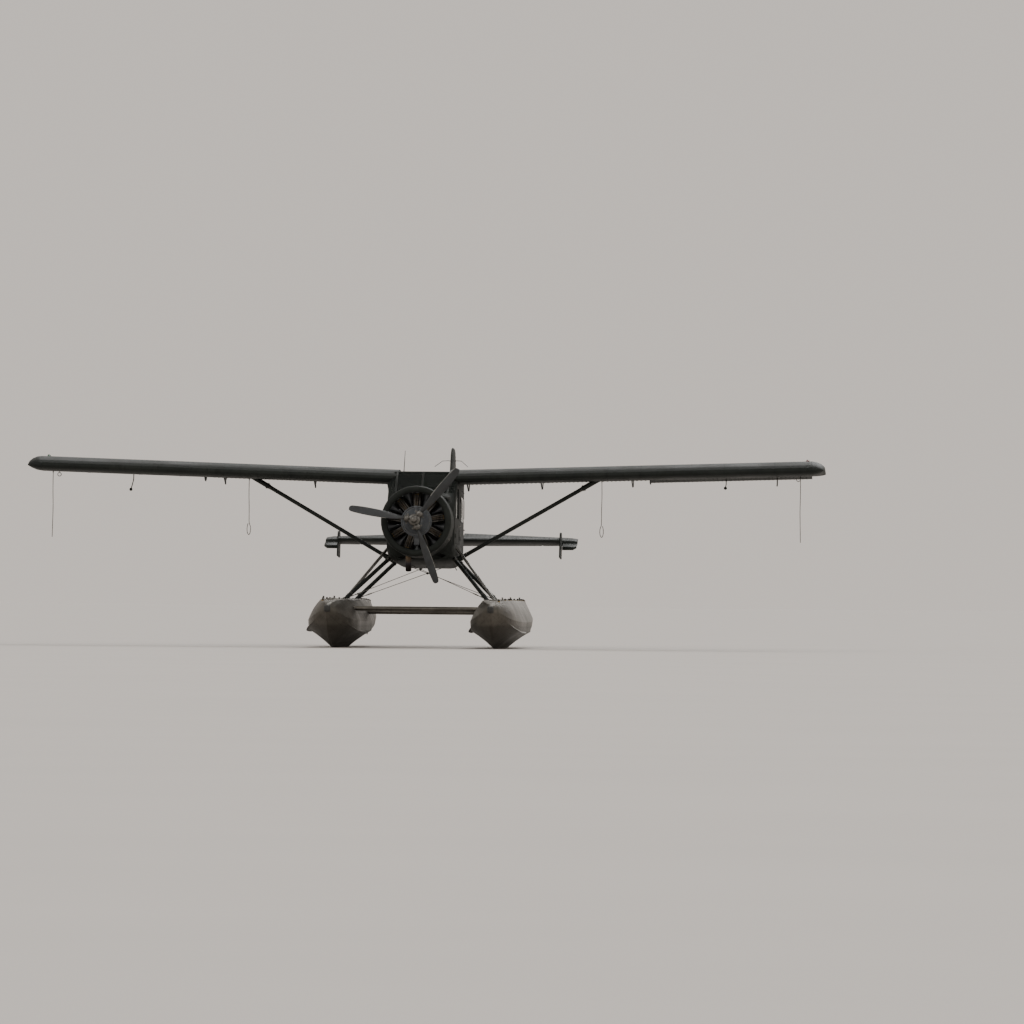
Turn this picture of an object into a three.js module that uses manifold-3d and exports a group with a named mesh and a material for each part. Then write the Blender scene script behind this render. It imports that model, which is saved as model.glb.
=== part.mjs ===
// Floatplane: a high-wing utility aircraft with a radial engine, on twin floats.
// Millimetres, +Z up. The nose points to -Y, the port (left) side is +X, the keels rest on Z = 0.

import * as THREE from 'three';
import { mergeVertices } from 'three/addons/utils/BufferGeometryUtils.js';
import Module from 'manifold-3d';

const wasm = await Module();
wasm.setup();

const degrees = Math.PI / 180;

// Whole aircraft. A station is a distance aft of the wing strut's foot, a height is above the belly line.
const airframePitch = 3; // degrees nose up, measured against the floats' keels
const bellyHeight = 1520; // belly line above the keels at station 0
const stationShift = -1864.5; // puts the middle of the overall length at Y = 0
const seatGap = 0.3; // between a fixed piece and what carries it
const runningGap = 7; // round a moving piece

// Fuselage
const firewallStation = -950;
const bulkheadStation = 1900;
const sternpostStation = 6096;
const cabinWall = 36;
const coneWall = 14;
const floorHeight = 340;

// Wing
const wingSpan = 14630;
const wingChord = 1587;
const wingLeading = -450;
const wingHeight = 1528; // chord line above the belly line at the root
const wingDihedral = 1.8;
const wingThickness = 0.175;
const wingCamber = 0.04;
const hingeShare = 0.77; // of the chord, for flaps and ailerons
const flapInner = 690;
const flapOuter = 4080;
const aileronOuter = 7060;
const flapPivotDrop = 130; // flap pivots below the chord line
const bracketPlaces = [730, 2090, 3760]; // flap hinge brackets along the span
const massBalancePlace = 5480;
const massBalance = { ahead: 345, below: 325, elbow: 175 }; // of the aileron's hinge
const aileronRest = 8; // degrees, port aileron down and starboard up

// Tail
const tailSpan = 4830;
const tailHeight = 770;
const tailLeading = 5100;
const elevatorHinge = 5900;
const elevatorTrailing = 6500;
const elevatorTaper = 260; // how far the trailing edge runs forward to the tip
const stabilizerHalf = 2112;
const hornInner = 2150;
const elevatorRest = 20; // degrees, trailing edge up
const rudderHinge = 6150;
const finTop = 2580;

// Engine and propeller
const thrustHeight = 680;
const cowlRadius = 640;
const cowlFront = -1850;
const cowlRear = -1090;
const noseFront = -1210;
const cylinderStation = -1560;
const cylinderCount = 9;
const propStation = -2100;
const propRadius = 1210;
const hubRear = propStation + 36;
const bladeAngles = [50, 170, 290];

// Floats
const floatSpacing = 2930;
const bowStation = -3100;
const keelFlatStart = -1900;
const stepStation = 620;
const sternStation = 4250;
const deckHeight = 870;
const strutFootX = 1300;

const port = 1;
const starboard = -1;
const sideNames = new Map([[port, 'left'], [starboard, 'right']]);
const ahead = new THREE.Vector3(0, -1, 0);

const colours = {
  paint: { color: 0x4b5048, roughness: 0.42, metalness: 0.35 },
  bareMetal: { color: 0x8d8b84, roughness: 0.38, metalness: 0.9 },
  steel: { color: 0x6d6c69, roughness: 0.4, metalness: 0.95 },
  engine: { color: 0x57544f, roughness: 0.55, metalness: 0.7 },
  blade: { color: 0x26282a, roughness: 0.45, metalness: 0.5 },
  glass: { color: 0x8fa0a8, roughness: 0.05, metalness: 0 },
  cloth: { color: 0x3b3a38, roughness: 0.9, metalness: 0 },
  panel: { color: 0x1f2022, roughness: 0.6, metalness: 0 },
  rope: { color: 0x7c6f58, roughness: 0.9, metalness: 0 },
};

// Solids

function solid(geometry, matrix) {
  const bare = geometry.clone();
  bare.deleteAttribute('normal');
  bare.deleteAttribute('uv');
  if (matrix) bare.applyMatrix4(matrix);
  const merged = mergeVertices(bare, 1e-3);
  const place = merged.getAttribute('position');
  const corners = merged.index.array;
  let volume = 0;
  const a = new THREE.Vector3();
  const b = new THREE.Vector3();
  const c = new THREE.Vector3();
  for (let i = 0; i < corners.length; i += 3) {
    a.fromBufferAttribute(place, corners[i]);
    b.fromBufferAttribute(place, corners[i + 1]);
    c.fromBufferAttribute(place, corners[i + 2]);
    volume += a.dot(b.cross(c));
  }
  const triVerts = new Uint32Array(corners);
  if (volume < 0) {
    for (let i = 0; i < triVerts.length; i += 3) {
      const kept = triVerts[i + 1];
      triVerts[i + 1] = triVerts[i + 2];
      triVerts[i + 2] = kept;
    }
  }
  const vertProperties = new Float32Array(place.array);
  return new wasm.Manifold(new wasm.Mesh({ numProp: 3, vertProperties, triVerts }));
}

function geometryOf(body) {
  const mesh = body.getMesh();
  const geometry = new THREE.BufferGeometry();
  geometry.setAttribute('position', new THREE.BufferAttribute(new Float32Array(mesh.vertProperties), 3));
  geometry.setIndex(new THREE.BufferAttribute(new Uint32Array(mesh.triVerts), 1));
  geometry.computeVertexNormals();
  return geometry;
}

function joined(bodies) {
  return bodies.reduce((whole, body) => whole.add(body));
}

// A closed body through rings of points; every ring has the same number of points
function loft(rings) {
  const count = rings[0].length;
  const places = rings.flat().flatMap((point) => [point.x, point.y, point.z]);
  const corners = [];
  for (let r = 0; r + 1 < rings.length; r += 1) {
    for (let i = 0; i < count; i += 1) {
      const next = (i + 1) % count;
      const a = r * count + i;
      const b = r * count + next;
      const c = (r + 1) * count + i;
      const d = (r + 1) * count + next;
      corners.push(a, c, d, a, d, b);
    }
  }
  const ends = [[rings[0], 0, false], [rings.at(-1), (rings.length - 1) * count, true]];
  for (const [ring, offset, flip] of ends) {
    for (const [a, b, c] of capTriangles(ring)) {
      corners.push(offset + a, offset + (flip ? c : b), offset + (flip ? b : c));
    }
  }
  const geometry = new THREE.BufferGeometry();
  geometry.setAttribute('position', new THREE.BufferAttribute(new Float32Array(places), 3));
  geometry.setIndex(corners);
  return geometry;
}

// Triangles over a flat ring, wound as the ring is
function capTriangles(ring) {
  const normal = new THREE.Vector3();
  ring.forEach((point, i) => {
    normal.add(point.clone().cross(ring[(i + 1) % ring.length]));
  });
  normal.normalize();
  const across = ring[1].clone().sub(ring[0]).normalize();
  const up = normal.clone().cross(across);
  const flat = ring.map((point) => new THREE.Vector2(point.dot(across), point.dot(up)));
  return THREE.ShapeUtils.triangulateShape(flat, []);
}

// An outline of station and height points, extruded across the aircraft from x0 to x1
function sidePrism(outline, x0, x1) {
  const shape = outline instanceof THREE.Shape
    ? outline : new THREE.Shape(outline.map(([s, h]) => new THREE.Vector2(s, h)));
  const settings = { depth: x1 - x0, bevelEnabled: false, curveSegments: 6 };
  const geometry = new THREE.ExtrudeGeometry(shape, settings);
  const turn = new THREE.Matrix4().makeBasis(
    new THREE.Vector3(0, 1, 0), new THREE.Vector3(0, 0, 1), new THREE.Vector3(1, 0, 0));
  return solid(geometry, turn.setPosition(x0, 0, 0));
}

function block(x0, x1, y0, y1, z0, z1) {
  const geometry = new THREE.BoxGeometry(x1 - x0, y1 - y0, z1 - z0);
  geometry.translate((x0 + x1) / 2, (y0 + y1) / 2, (z0 + z1) / 2);
  return solid(geometry);
}

function turned(profile, sides, centre) {
  const points = profile.map(([radius, along]) => new THREE.Vector2(radius, along));
  const geometry = new THREE.LatheGeometry(points, sides);
  return solid(geometry, new THREE.Matrix4().makeTranslation(centre));
}

function rod(from, to, radius, sides = 10) {
  const geometry = new THREE.CylinderGeometry(radius, radius, from.distanceTo(to), sides);
  const aim = new THREE.Quaternion().setFromUnitVectors(
    new THREE.Vector3(0, 1, 0), to.clone().sub(from).normalize());
  const middle = from.clone().add(to).multiplyScalar(0.5);
  return solid(geometry, new THREE.Matrix4().compose(middle, aim, new THREE.Vector3(1, 1, 1)));
}

// A strut of streamlined section: round in front, tapering aft
const strutSection = [
  // [share of the chord ahead of the middle, share of the half thickness]
  [0.5, 0], [0.44, 0.55], [0.28, 0.95], [0.05, 1], [-0.2, 0.75], [-0.5, 0.08],
];

function strut(from, to, chord, thickness, extra = 0) {
  const along = to.clone().sub(from).normalize();
  const forward = ahead.clone().addScaledVector(along, -ahead.dot(along)).normalize();
  const side = along.clone().cross(forward);
  const half = strutSection.map(([f, t]) => [f * (chord + 2 * extra), t * (thickness / 2 + extra)]);
  const outline = [...half, ...half.slice(1).reverse().map(([f, t]) => [f, -t])];
  const ringAt = (end) => outline.map(
    ([f, t]) => end.clone().addScaledVector(forward, f).addScaledVector(side, t));
  return solid(loft([ringAt(from), ringAt(to)]));
}

// A closed outline with rounded corners, given as [station, height, corner radius]
function roundedOutline(corners) {
  const shape = new THREE.Shape();
  corners.forEach(([s, h, radius], i) => {
    const here = new THREE.Vector2(s, h);
    const last = new THREE.Vector2(...corners.at(i - 1).slice(0, 2));
    const next = new THREE.Vector2(...corners[(i + 1) % corners.length].slice(0, 2));
    const inTo = last.sub(here).setLength(radius).add(here);
    const outOf = next.sub(here).setLength(radius).add(here);
    if (i === 0) shape.moveTo(inTo.x, inTo.y);
    else shape.lineTo(inTo.x, inTo.y);
    shape.quadraticCurveTo(here.x, here.y, outOf.x, outOf.y);
  });
  shape.closePath();
  return shape;
}

function addPiece(parent, name, body, finish) {
  const mesh = new THREE.Mesh(geometryOf(body), new THREE.MeshStandardMaterial(colours[finish]));
  mesh.name = name;
  parent.add(mesh);
  return mesh;
}

const floatplane = new THREE.Group();
const airframe = new THREE.Group();
airframe.position.set(0, stationShift, bellyHeight);
airframe.rotation.x = -airframePitch * degrees;
floatplane.add(airframe);
airframe.updateMatrixWorld(true);

// Fuselage

const fuselageSections = [
  // [station, half width, low height, high height, low corner radius, high corner radius]
  [firewallStation, 608, 40, 1268, 330, 430],
  [-800, 620, 14, 1236, 250, 220],
  [-640, 625, 4, 1390, 225, 190],
  [-330, 630, 0, 1684, 215, 150],
  [300, 635, 0, 1702, 215, 140],
  [1150, 622, 0, 1690, 215, 150],
  [bulkheadStation, 556, 34, 1600, 230, 210],
];
const coneSections = [
  [bulkheadStation, 556, 34, 1600, 230, 210],
  [2600, 470, 110, 1445, 220, 220],
  [3600, 345, 230, 1240, 190, 200],
  [4900, 205, 385, 1045, 120, 130],
  [sternpostStation, 74, 520, 905, 50, 50],
];
const cornerSteps = 6;

function fuselageRing([station, halfWidth, low, high, lowRadius, highRadius], extra) {
  const corners = [
    // [side, radius, height of the corner's centre, first angle]
    [1, lowRadius, low + lowRadius, -90],
    [1, highRadius, high - highRadius, 0],
    [-1, highRadius, high - highRadius, 90],
    [-1, lowRadius, low + lowRadius, 180],
  ];
  return corners.flatMap(([side, radius, height, first]) => {
    const centre = side * (halfWidth - radius);
    return Array.from({ length: cornerSteps + 1 }, (_, i) => {
      const angle = (first + (90 * i) / cornerSteps) * degrees;
      const reach = radius + extra;
      return new THREE.Vector3(centre + reach * Math.cos(angle), station, height + reach * Math.sin(angle));
    });
  });
}

function fuselageBody(sections, extra = 0) {
  return solid(loft(sections.map((section) => fuselageRing(section, extra))));
}

// Doors, on both sides: outline corners are [station, height, corner radius]
const doors = {
  cockpit_door: {
    outline: [[-735, 352, 60], [-62, 352, 60], [-62, 1436, 60], [-432, 1436, 60], [-735, 1105, 90]],
    window: [[-672, 815, 50], [-122, 815, 50], [-122, 1376, 50], [-412, 1376, 50], [-672, 1085, 60]],
    hinge: -735,
    wall: 624,
  },
  cabin_door: {
    outline: [[150, 352, 90], [1150, 352, 90], [1150, 1375, 90], [150, 1375, 90]],
    window: [[290, 800, 70], [1010, 800, 70], [1010, 1292, 70], [290, 1292, 70]],
    hinge: 150,
    wall: 635,
  },
};
const rearWindow = { station: 1490, height: 1100, radius: 165 };

const windshieldOutline = [
  [-792, 1262], [-640, 1262], [-400, 1500], [-345, 1600], [-345, 1800], [-830, 1800],
];
const windshieldPosts = [[-22, 22], [455, 497], [-497, -455]];
const windshieldDepth = 18; // posts stand this far over the glass
const glassThickness = 7;

// An outline moved outward by a distance, corner by corner
function grownOutline(outline, distance) {
  return outline.map(([s, h, radius], i) => {
    const last = outline.at(i - 1);
    const next = outline[(i + 1) % outline.length];
    const before = new THREE.Vector2(s - last[0], h - last[1]).normalize();
    const after = new THREE.Vector2(next[0] - s, next[1] - h).normalize();
    const outward = new THREE.Vector2(before.y + after.y, -before.x - after.x);
    const miter = (2 * distance) / outward.lengthSq();
    return [s + outward.x * miter, h + outward.y * miter, Math.max(5, (radius ?? 0) + distance)];
  });
}

const fullWidth = 800;
const cabinOuter = fuselageBody(fuselageSections);
const cabinInner = fuselageBody(fuselageSections, -cabinWall)
  .intersect(block(-fullWidth, fullWidth, firewallStation + 26, bulkheadStation - 26, floorHeight, 2000));

function outlinePrism(outline, grown, x0 = 0, x1 = fullWidth) {
  return sidePrism(roundedOutline(grownOutline(outline, grown)), x0, x1);
}

function windshieldPrism(grown, x0, x1) {
  return sidePrism(grownOutline(windshieldOutline, grown), x0, x1);
}

function roundWindow(radius, x0, x1) {
  const shape = new THREE.Shape().absarc(rearWindow.station, rearWindow.height, radius, 0, 2 * Math.PI);
  const settings = { depth: x1 - x0, bevelEnabled: false, curveSegments: 14 };
  const geometry = new THREE.ExtrudeGeometry(shape, settings);
  const turn = new THREE.Matrix4().makeBasis(
    new THREE.Vector3(0, 1, 0), new THREE.Vector3(0, 0, 1), new THREE.Vector3(1, 0, 0));
  return solid(geometry, turn.setPosition(x0, 0, 0));
}

function cabinShell() {
  const behindPosts = fuselageBody(fuselageSections, -windshieldDepth);
  let shell = cabinOuter.subtract(cabinInner);
  for (const door of Object.values(doors)) {
    shell = shell.subtract(outlinePrism(door.outline, 0, -fullWidth, fullWidth).subtract(
      block(-560, 560, -900, 1300, 0, 1700)));
  }
  shell = shell.subtract(roundWindow(rearWindow.radius, -fullWidth, fullWidth));
  const panes = windshieldPosts.reduce(
    (open, [x0, x1]) => open.subtract(block(x0, x1, -900, -300, 1200, 1800)),
    windshieldPrism(0, -fullWidth, fullWidth));
  shell = shell.subtract(panes);
  return shell.subtract(windshieldPrism(14, -fullWidth, fullWidth).intersect(behindPosts));
}

function windshieldGlass() {
  const outside = fuselageBody(fuselageSections, -windshieldDepth - seatGap);
  const inside = fuselageBody(fuselageSections, -windshieldDepth - seatGap - glassThickness);
  return outside.subtract(inside).intersect(windshieldPrism(14 - seatGap, -fullWidth, fullWidth));
}

function glassLayer(prism) {
  return fuselageBody(fuselageSections, -14).subtract(fuselageBody(fuselageSections, -14 - glassThickness))
    .intersect(prism);
}

function doorBody(door) {
  return fuselageBody(fuselageSections).subtract(fuselageBody(fuselageSections, -cabinWall))
    .intersect(outlinePrism(door.outline, -runningGap, 300))
    .subtract(outlinePrism(door.window, 0, 300));
}

// Door hinges: a pin on the door's leaf, held between two lugs on the shell
const doorPinOut = 6; // the pin's axis outside the wall
const doorPinHalf = 20;
const lugLength = 14;

function at(x, station, height) {
  return new THREE.Vector3(x, station, height);
}

function hingeHeights(door) {
  const heights = door.outline.map(([, h]) => h);
  const low = Math.min(...heights);
  const frontTop = Math.min(door.outline.at(-1)[1], Math.max(...heights));
  return [low + 130, frontTop - 190];
}

function hingeLeaves(door) {
  const axis = door.wall + doorPinOut;
  return hingeHeights(door).map((h) => rod(
    at(axis, door.hinge, h - doorPinHalf), at(axis, door.hinge, h + doorPinHalf), 5, 8)
    .add(block(door.wall - 12, door.wall + 5, door.hinge + runningGap, door.hinge + 60, h - 18, h + 18))
    .add(block(axis - 4, axis + 1, door.hinge + 1, door.hinge + 60, h - 18, h + 18)));
}

function hingeLugs(door) {
  return hingeHeights(door).flatMap((h) => [-1, 1].map((way) => {
    const near = h + way * (doorPinHalf + 0.4);
    const far = near + way * lugLength;
    return block(door.wall - 12, door.wall + doorPinOut + 4, door.hinge - 24, door.hinge + 3,
      Math.min(near, far), Math.max(near, far));
  }));
}

function mirroredX(bodies) {
  return bodies.map((body) => solid(geometryOf(body), new THREE.Matrix4().makeScale(-1, 1, 1)));
}

const shellLugs = Object.values(doors).flatMap(hingeLugs);
addPiece(airframe, 'cabin_shell', joined([cabinShell(), ...shellLugs, ...mirroredX(shellLugs)]), 'paint');
addPiece(airframe, 'windshield', windshieldGlass(), 'glass');

function tailCone(stabilizerSlot) {
  const front = [bulkheadStation - 60, ...coneSections[0].slice(1)];
  const hollow = fuselageBody([front, ...coneSections], -coneWall)
    .subtract(block(-fullWidth, fullWidth, sternpostStation - 24, sternpostStation + 50, 0, 2000));
  const start = bulkheadStation + seatGap;
  return fuselageBody(coneSections).subtract(hollow)
    .subtract(block(-fullWidth, fullWidth, bulkheadStation - 100, start, 0, 2000))
    .subtract(stabilizerSlot);
}

// Cabin interior

const inCabin = fuselageBody(fuselageSections, -cabinWall - seatGap);
const cabinFloor = floorHeight + seatGap;

function instrumentPanel() {
  const panelFront = firewallStation + 26 + seatGap;
  const wheelCentre = at(300, -505, 905);
  const wheel = new THREE.TorusGeometry(125, 11, 6, 16);
  wheel.rotateX(Math.PI / 2);
  wheel.translate(wheelCentre.x, wheelCentre.y, wheelCentre.z);
  const spoke = rod(at(180, wheelCentre.y, wheelCentre.z), at(420, wheelCentre.y, wheelCentre.z), 9, 8);
  return joined([
    block(-580, 580, panelFront, -690, 900, 1160),
    sidePrism([[panelFront, 1120], [-620, 1120], [-620, 1150], [-700, 1185], [panelFront, 1185]], -540, 540),
    block(-95, 95, -840, -650, cabinFloor, 1000),
    rod(at(0, -690, 760), at(0, -560, 800), 22, 8),
    rod(at(-20, -560, 795), at(300, -530, 905), 16, 8),
    rod(at(300, -540, 905), at(300, -495, 905), 24, 8),
    solid(wheel),
    spoke,
  ]).intersect(inCabin);
}

function crewSeat(centre) {
  return joined([
    block(centre - 165, centre + 165, -250, 100, cabinFloor, 565),
    block(centre - 215, centre + 215, -300, 140, 555, 655),
    sidePrism([[50, 600], [150, 600], [262, 1210], [180, 1226]], centre - 205, centre + 205),
  ]);
}

function rearBench() {
  return joined([
    block(-480, 480, 1230, 1560, cabinFloor, 560),
    block(-510, 510, 1180, 1590, 545, 640),
    sidePrism([[1490, 600], [1590, 600], [1700, 1160], [1620, 1172]], -505, 505),
  ]).intersect(inCabin);
}

addPiece(airframe, 'instrument_panel', instrumentPanel(), 'panel');
addPiece(airframe, 'seat_left', crewSeat(300), 'cloth');
addPiece(airframe, 'seat_right', crewSeat(-300), 'cloth');
addPiece(airframe, 'rear_bench', rearBench(), 'cloth');

// Wing section, as shares of the chord

const chordShares = [0, 0.012, 0.05, 0.12, 0.22, 0.36, 0.52, hingeShare, 0.9, 1];

function camberAt(t) {
  return wingCamber * (t < 0.4 ? (0.8 * t - t * t) / 0.16 : (0.2 + 0.8 * t - t * t) / 0.36);
}

function halfThicknessAt(t) {
  const shape = 0.2969 * Math.sqrt(t) - 0.126 * t - 0.3516 * t ** 2 + 0.2843 * t ** 3 - 0.1015 * t ** 4;
  return 5 * wingThickness * shape;
}

function wingRing(x, scale, extra, fullness = 1) {
  const chord = wingChord * scale;
  const leading = wingLeading + 0.35 * (wingChord - chord);
  const surface = (t, way) => at(x, leading + t * chord,
    wingChord * camberAt(t) + way * (chord * fullness * halfThicknessAt(t) + extra));
  const upper = chordShares.slice().reverse().map((t) => surface(t, 1));
  const lower = chordShares.slice(extra > 0 ? 0 : 1).map((t) => surface(t, -1));
  return [...upper, ...lower];
}

const tipSections = [
  // [distance inboard of the tip, share of the full chord, share of the thickness]
  [235, 1, 1], [150, 0.97, 0.93], [70, 0.88, 0.74], [20, 0.76, 0.48], [0, 0.62, 0.25],
];

function wingBody(inner, extra = 0) {
  const tip = tipSections.map(
    ([inboard, scale, fullness]) => wingRing(wingSpan / 2 - inboard, scale, extra, fullness));
  return solid(loft([wingRing(inner, 1, extra), ...tip]));
}

const hingeStation = wingLeading + hingeShare * wingChord;
const hingeRise = camberAt(hingeShare) * wingChord;
const noseRadius = halfThicknessAt(hingeShare) * wingChord - 1;
const coveStation = hingeStation - noseRadius - runningGap;

// A hinge along X: a pin across a notch in the moving surface, met by a tongue of the fixed one
const hingePin = 5;

function hingeNotch(x, station, height, radius) {
  const reach = radius + 20;
  return block(x - 16, x + 16, station - reach, station + 16, height - reach, height + reach);
}

function hingePinAt(x, station, height) {
  return rod(at(x - 18, station, height), at(x + 18, station, height), hingePin, 8);
}

function hingeTongue(x, wall, station, height) {
  return block(x - 9, x + 9, wall - 30, station - hingePin - 0.4, height - 9, height + 9);
}

const aileronHinges = [4700, 6350];
const ropePlaces = [3240, 6870]; // mooring lugs along the span
const ropeStation = 0;

function fixedWing(panelToAirframe) {
  const bay = block(flapInner, aileronOuter, coveStation, 2000, -400, 400);
  const cover = fuselageBody(fuselageSections, seatGap);
  const fuselage = solid(geometryOf(cover), panelToAirframe.clone().invert());
  const brackets = bracketPlaces.map((x) => sidePrism([
    [coveStation - 330, -20], [coveStation - 250, -62], [hingeStation - 50, -158], [hingeStation + 14, -146],
    [hingeStation + 14, -112], [coveStation - 6, -50], [coveStation - 6, -10],
  ], x - 7, x + 7));
  const tongues = aileronHinges.map((x) => hingeTongue(x, coveStation, hingeStation, hingeRise));
  const lugs = ropePlaces.map((x) => block(x - 7, x + 7, ropeStation - 22, ropeStation + 22, -108, -30));
  return joined([wingBody(480).subtract(bay), ...brackets, ...tongues, ...lugs]).subtract(fuselage);
}

function trailingSurface(x0, x1) {
  const rings = [wingRing(x0, 1, 0), wingRing(x1, 1, 0)];
  const nose = rod(at(x0, hingeStation, hingeRise), at(x1, hingeStation, hingeRise), noseRadius, 20);
  return solid(loft(rings)).intersect(block(x0 - 10, x1 + 10, hingeStation, 2000, -400, 400)).add(nose);
}

function flapBody() {
  const arms = bracketPlaces.map((x) => sidePrism([
    [hingeStation + 250, 10], [hingeStation + 12, -150], [hingeStation - 12, -146], [hingeStation - 12, -120],
    [hingeStation + 40, 10],
  ], x + 7.4, x + 17));
  return joined([trailingSurface(flapInner + runningGap, flapOuter - runningGap / 2), ...arms]);
}

function aileronBody() {
  const root = at(massBalancePlace, hingeStation + 10, hingeRise - 40);
  const elbow = at(massBalancePlace, hingeStation, hingeRise - massBalance.elbow);
  const end = at(massBalancePlace, hingeStation - massBalance.ahead, hingeRise - massBalance.below);
  const arm = rod(root, elbow, 9, 8).add(rod(elbow.clone().lerp(end, -0.02), end, 9, 8));
  const weight = new THREE.SphereGeometry(30, 12, 8);
  weight.translate(end.x, end.y, end.z);
  const notches = aileronHinges.map((x) => hingeNotch(x, hingeStation, hingeRise, noseRadius));
  const pins = aileronHinges.map((x) => hingePinAt(x, hingeStation, hingeRise));
  const surface = trailingSurface(flapOuter + runningGap / 2, aileronOuter - runningGap);
  const notched = notches.reduce((left, notch) => left.subtract(notch), surface);
  return joined([notched, ...pins, arm, solid(weight)]);
}

// A group on a hinge line; its pieces keep the coordinates of the group around it
function pivotAt(parent, station, height, angle) {
  const pivot = new THREE.Group();
  pivot.position.set(0, station, height);
  pivot.rotation.x = angle * degrees;
  const inside = new THREE.Group();
  inside.position.set(0, -station, -height);
  pivot.add(inside);
  parent.add(pivot);
  return inside;
}

const panel = new THREE.Group();
panel.position.set(0, 0, wingHeight);
panel.rotation.y = -wingDihedral * degrees;
panel.updateMatrix();
const panelMatrix = panel.matrix.clone();

const wingPiece = fixedWing(panelMatrix);
const flapPiece = flapBody();
const aileronPiece = aileronBody();
const wingCover = solid(geometryOf(wingBody(480, seatGap)), panelMatrix);

// Wing struts, from the lower longerons to the wing
const strutFoot = at(560, 0, 60);
const strutHead = at(3282, 70, 1645);
const fuselageCover = fuselageBody(fuselageSections, seatGap);
const wingStrut = joined([
  strut(strutFoot, strutHead, 160, 72),
  strut(strutHead.clone().lerp(strutFoot, 0.15), strutHead, 186, 90),
  strut(strutFoot, strutFoot.clone().lerp(strutHead, 0.06), 182, 92),
]).subtract(fuselageCover).subtract(wingCover);

for (const side of [port, starboard]) {
  const name = sideNames.get(side);
  const half = new THREE.Group();
  half.scale.x = side;
  airframe.add(half);
  const wing = panel.clone();
  half.add(wing);
  addPiece(wing, `wing_${name}`, wingPiece, 'paint');
  addPiece(pivotAt(wing, hingeStation, -flapPivotDrop, 0), `flap_${name}`, flapPiece, 'paint');
  const aileronPivot = pivotAt(wing, hingeStation, hingeRise, -side * aileronRest);
  addPiece(aileronPivot, `aileron_${name}`, aileronPiece, 'paint');
  addPiece(half, `wing_strut_${name}`, wingStrut, 'paint');
  const rearPane = glassLayer(roundWindow(rearWindow.radius - seatGap, 0, fullWidth));
  addPiece(half, `rear_window_${name}`, rearPane, 'glass');
  for (const [kind, door] of Object.entries(doors)) {
    addPiece(half, `${kind}_${name}`, joined([doorBody(door), ...hingeLeaves(door)]), 'paint');
    addPiece(half, `${kind}_glass_${name}`, glassLayer(outlinePrism(door.window, -seatGap)), 'glass');
  }
}

// Tail. A surface's ring lies in a plane across its span: 'span' is X for the tailplane, height for the fin

const tailplane = (span, station, offset) => at(span, station, tailHeight + offset);
const upright = (span, station, offset) => at(offset, station, span);

// A fixed surface: rounded leading edge, flat rear wall
function fixedRing(place, span, leading, rear, halfThick, extra = 0) {
  const half = [[0, 0.12], [0.04, 0.45], [0.16, 0.8], [0.42, 1], [1, 0.9]];
  const points = half.map(([t, share]) => (
    [leading - extra + t * (rear - leading + 2 * extra), share * halfThick + extra]));
  const oneSide = points.map(([s, o]) => place(span, s, o));
  const otherSide = points.reverse().map(([s, o]) => place(span, s, -o));
  return [...oneSide, ...otherSide];
}

// A moving surface: round nose on its hinge line, taper to a thin trailing edge
function movingRing(place, span, hinge, radius, trailing) {
  const nose = Array.from({ length: 9 }, (_, i) => {
    const angle = (90 + 22.5 * i) * degrees;
    return place(span, hinge + radius * Math.cos(angle), radius * Math.sin(angle));
  });
  return [...nose, place(span, trailing, -3), place(span, trailing, 3)];
}

const elevatorRoot = 74; // nose radius
const elevatorTip = 54;
const elevatorRadiusAt = (x) => elevatorRoot + (elevatorTip - elevatorRoot) * Math.abs(x) / (tailSpan / 2);

function stabilizer(extra = 0) {
  const stations = [-stabilizerHalf, 0, stabilizerHalf];
  const rings = stations.map((x) => {
    const radius = elevatorRadiusAt(x);
    const leading = tailLeading + (x === 0 ? 0 : 90);
    return fixedRing(tailplane, x, leading, elevatorHinge - radius - runningGap, radius + 4, extra);
  });
  return solid(loft(rings));
}

const elevatorHinges = [620, 1750];

function elevatorTongues() {
  const places = [...elevatorHinges, ...elevatorHinges.map((x) => -x)];
  return places.map((x) => hingeTongue(x, elevatorHinge - elevatorRadiusAt(x) - runningGap,
    elevatorHinge, tailHeight));
}

function elevatorBody() {
  const inner = 205;
  const outer = tailSpan / 2;
  const surface = solid(loft([
    movingRing(tailplane, inner, elevatorHinge, elevatorRadiusAt(inner), elevatorTrailing),
    movingRing(tailplane, outer - 140, elevatorHinge, elevatorRadiusAt(outer - 140),
      elevatorTrailing - elevatorTaper),
    movingRing(tailplane, outer, elevatorHinge, elevatorTip * 0.7, elevatorTrailing - elevatorTaper - 70),
  ]));
  const horn = solid(loft([
    movingRing(tailplane, hornInner, 5550, 36, elevatorHinge + 60),
    movingRing(tailplane, outer - 60, 5550, 34, elevatorHinge + 60),
    movingRing(tailplane, outer, 5620, 18, elevatorHinge + 40),
  ]));
  const fillStation = elevatorHinge - 120;
  const hornFill = rod(
    at(hornInner, fillStation, tailHeight), at(outer - 20, fillStation, tailHeight), 24, 12);
  const notches = elevatorHinges.map((x) => hingeNotch(x, elevatorHinge, tailHeight, elevatorRoot));
  const pins = elevatorHinges.map((x) => hingePinAt(x, elevatorHinge, tailHeight));
  return joined([notches.reduce((left, notch) => left.subtract(notch), surface), ...pins, horn, hornFill]);
}

const finSections = [
  // [height, leading edge, half thickness]
  [860, 4560, 40], [1060, 4930, 44], [1330, 5230, 44], [2440, 5680, 30], [2545, 5760, 24], [finTop, 5880, 15],
];
const rudderSections = [
  // [height, nose radius, trailing edge]
  [470, 30, 6500], [560, 38, 6790], [820, 42, 6850], [1400, 40, 6820],
  [2380, 27, 6640], [2530, 22, 6570], [finTop, 12, 6440],
];

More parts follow.
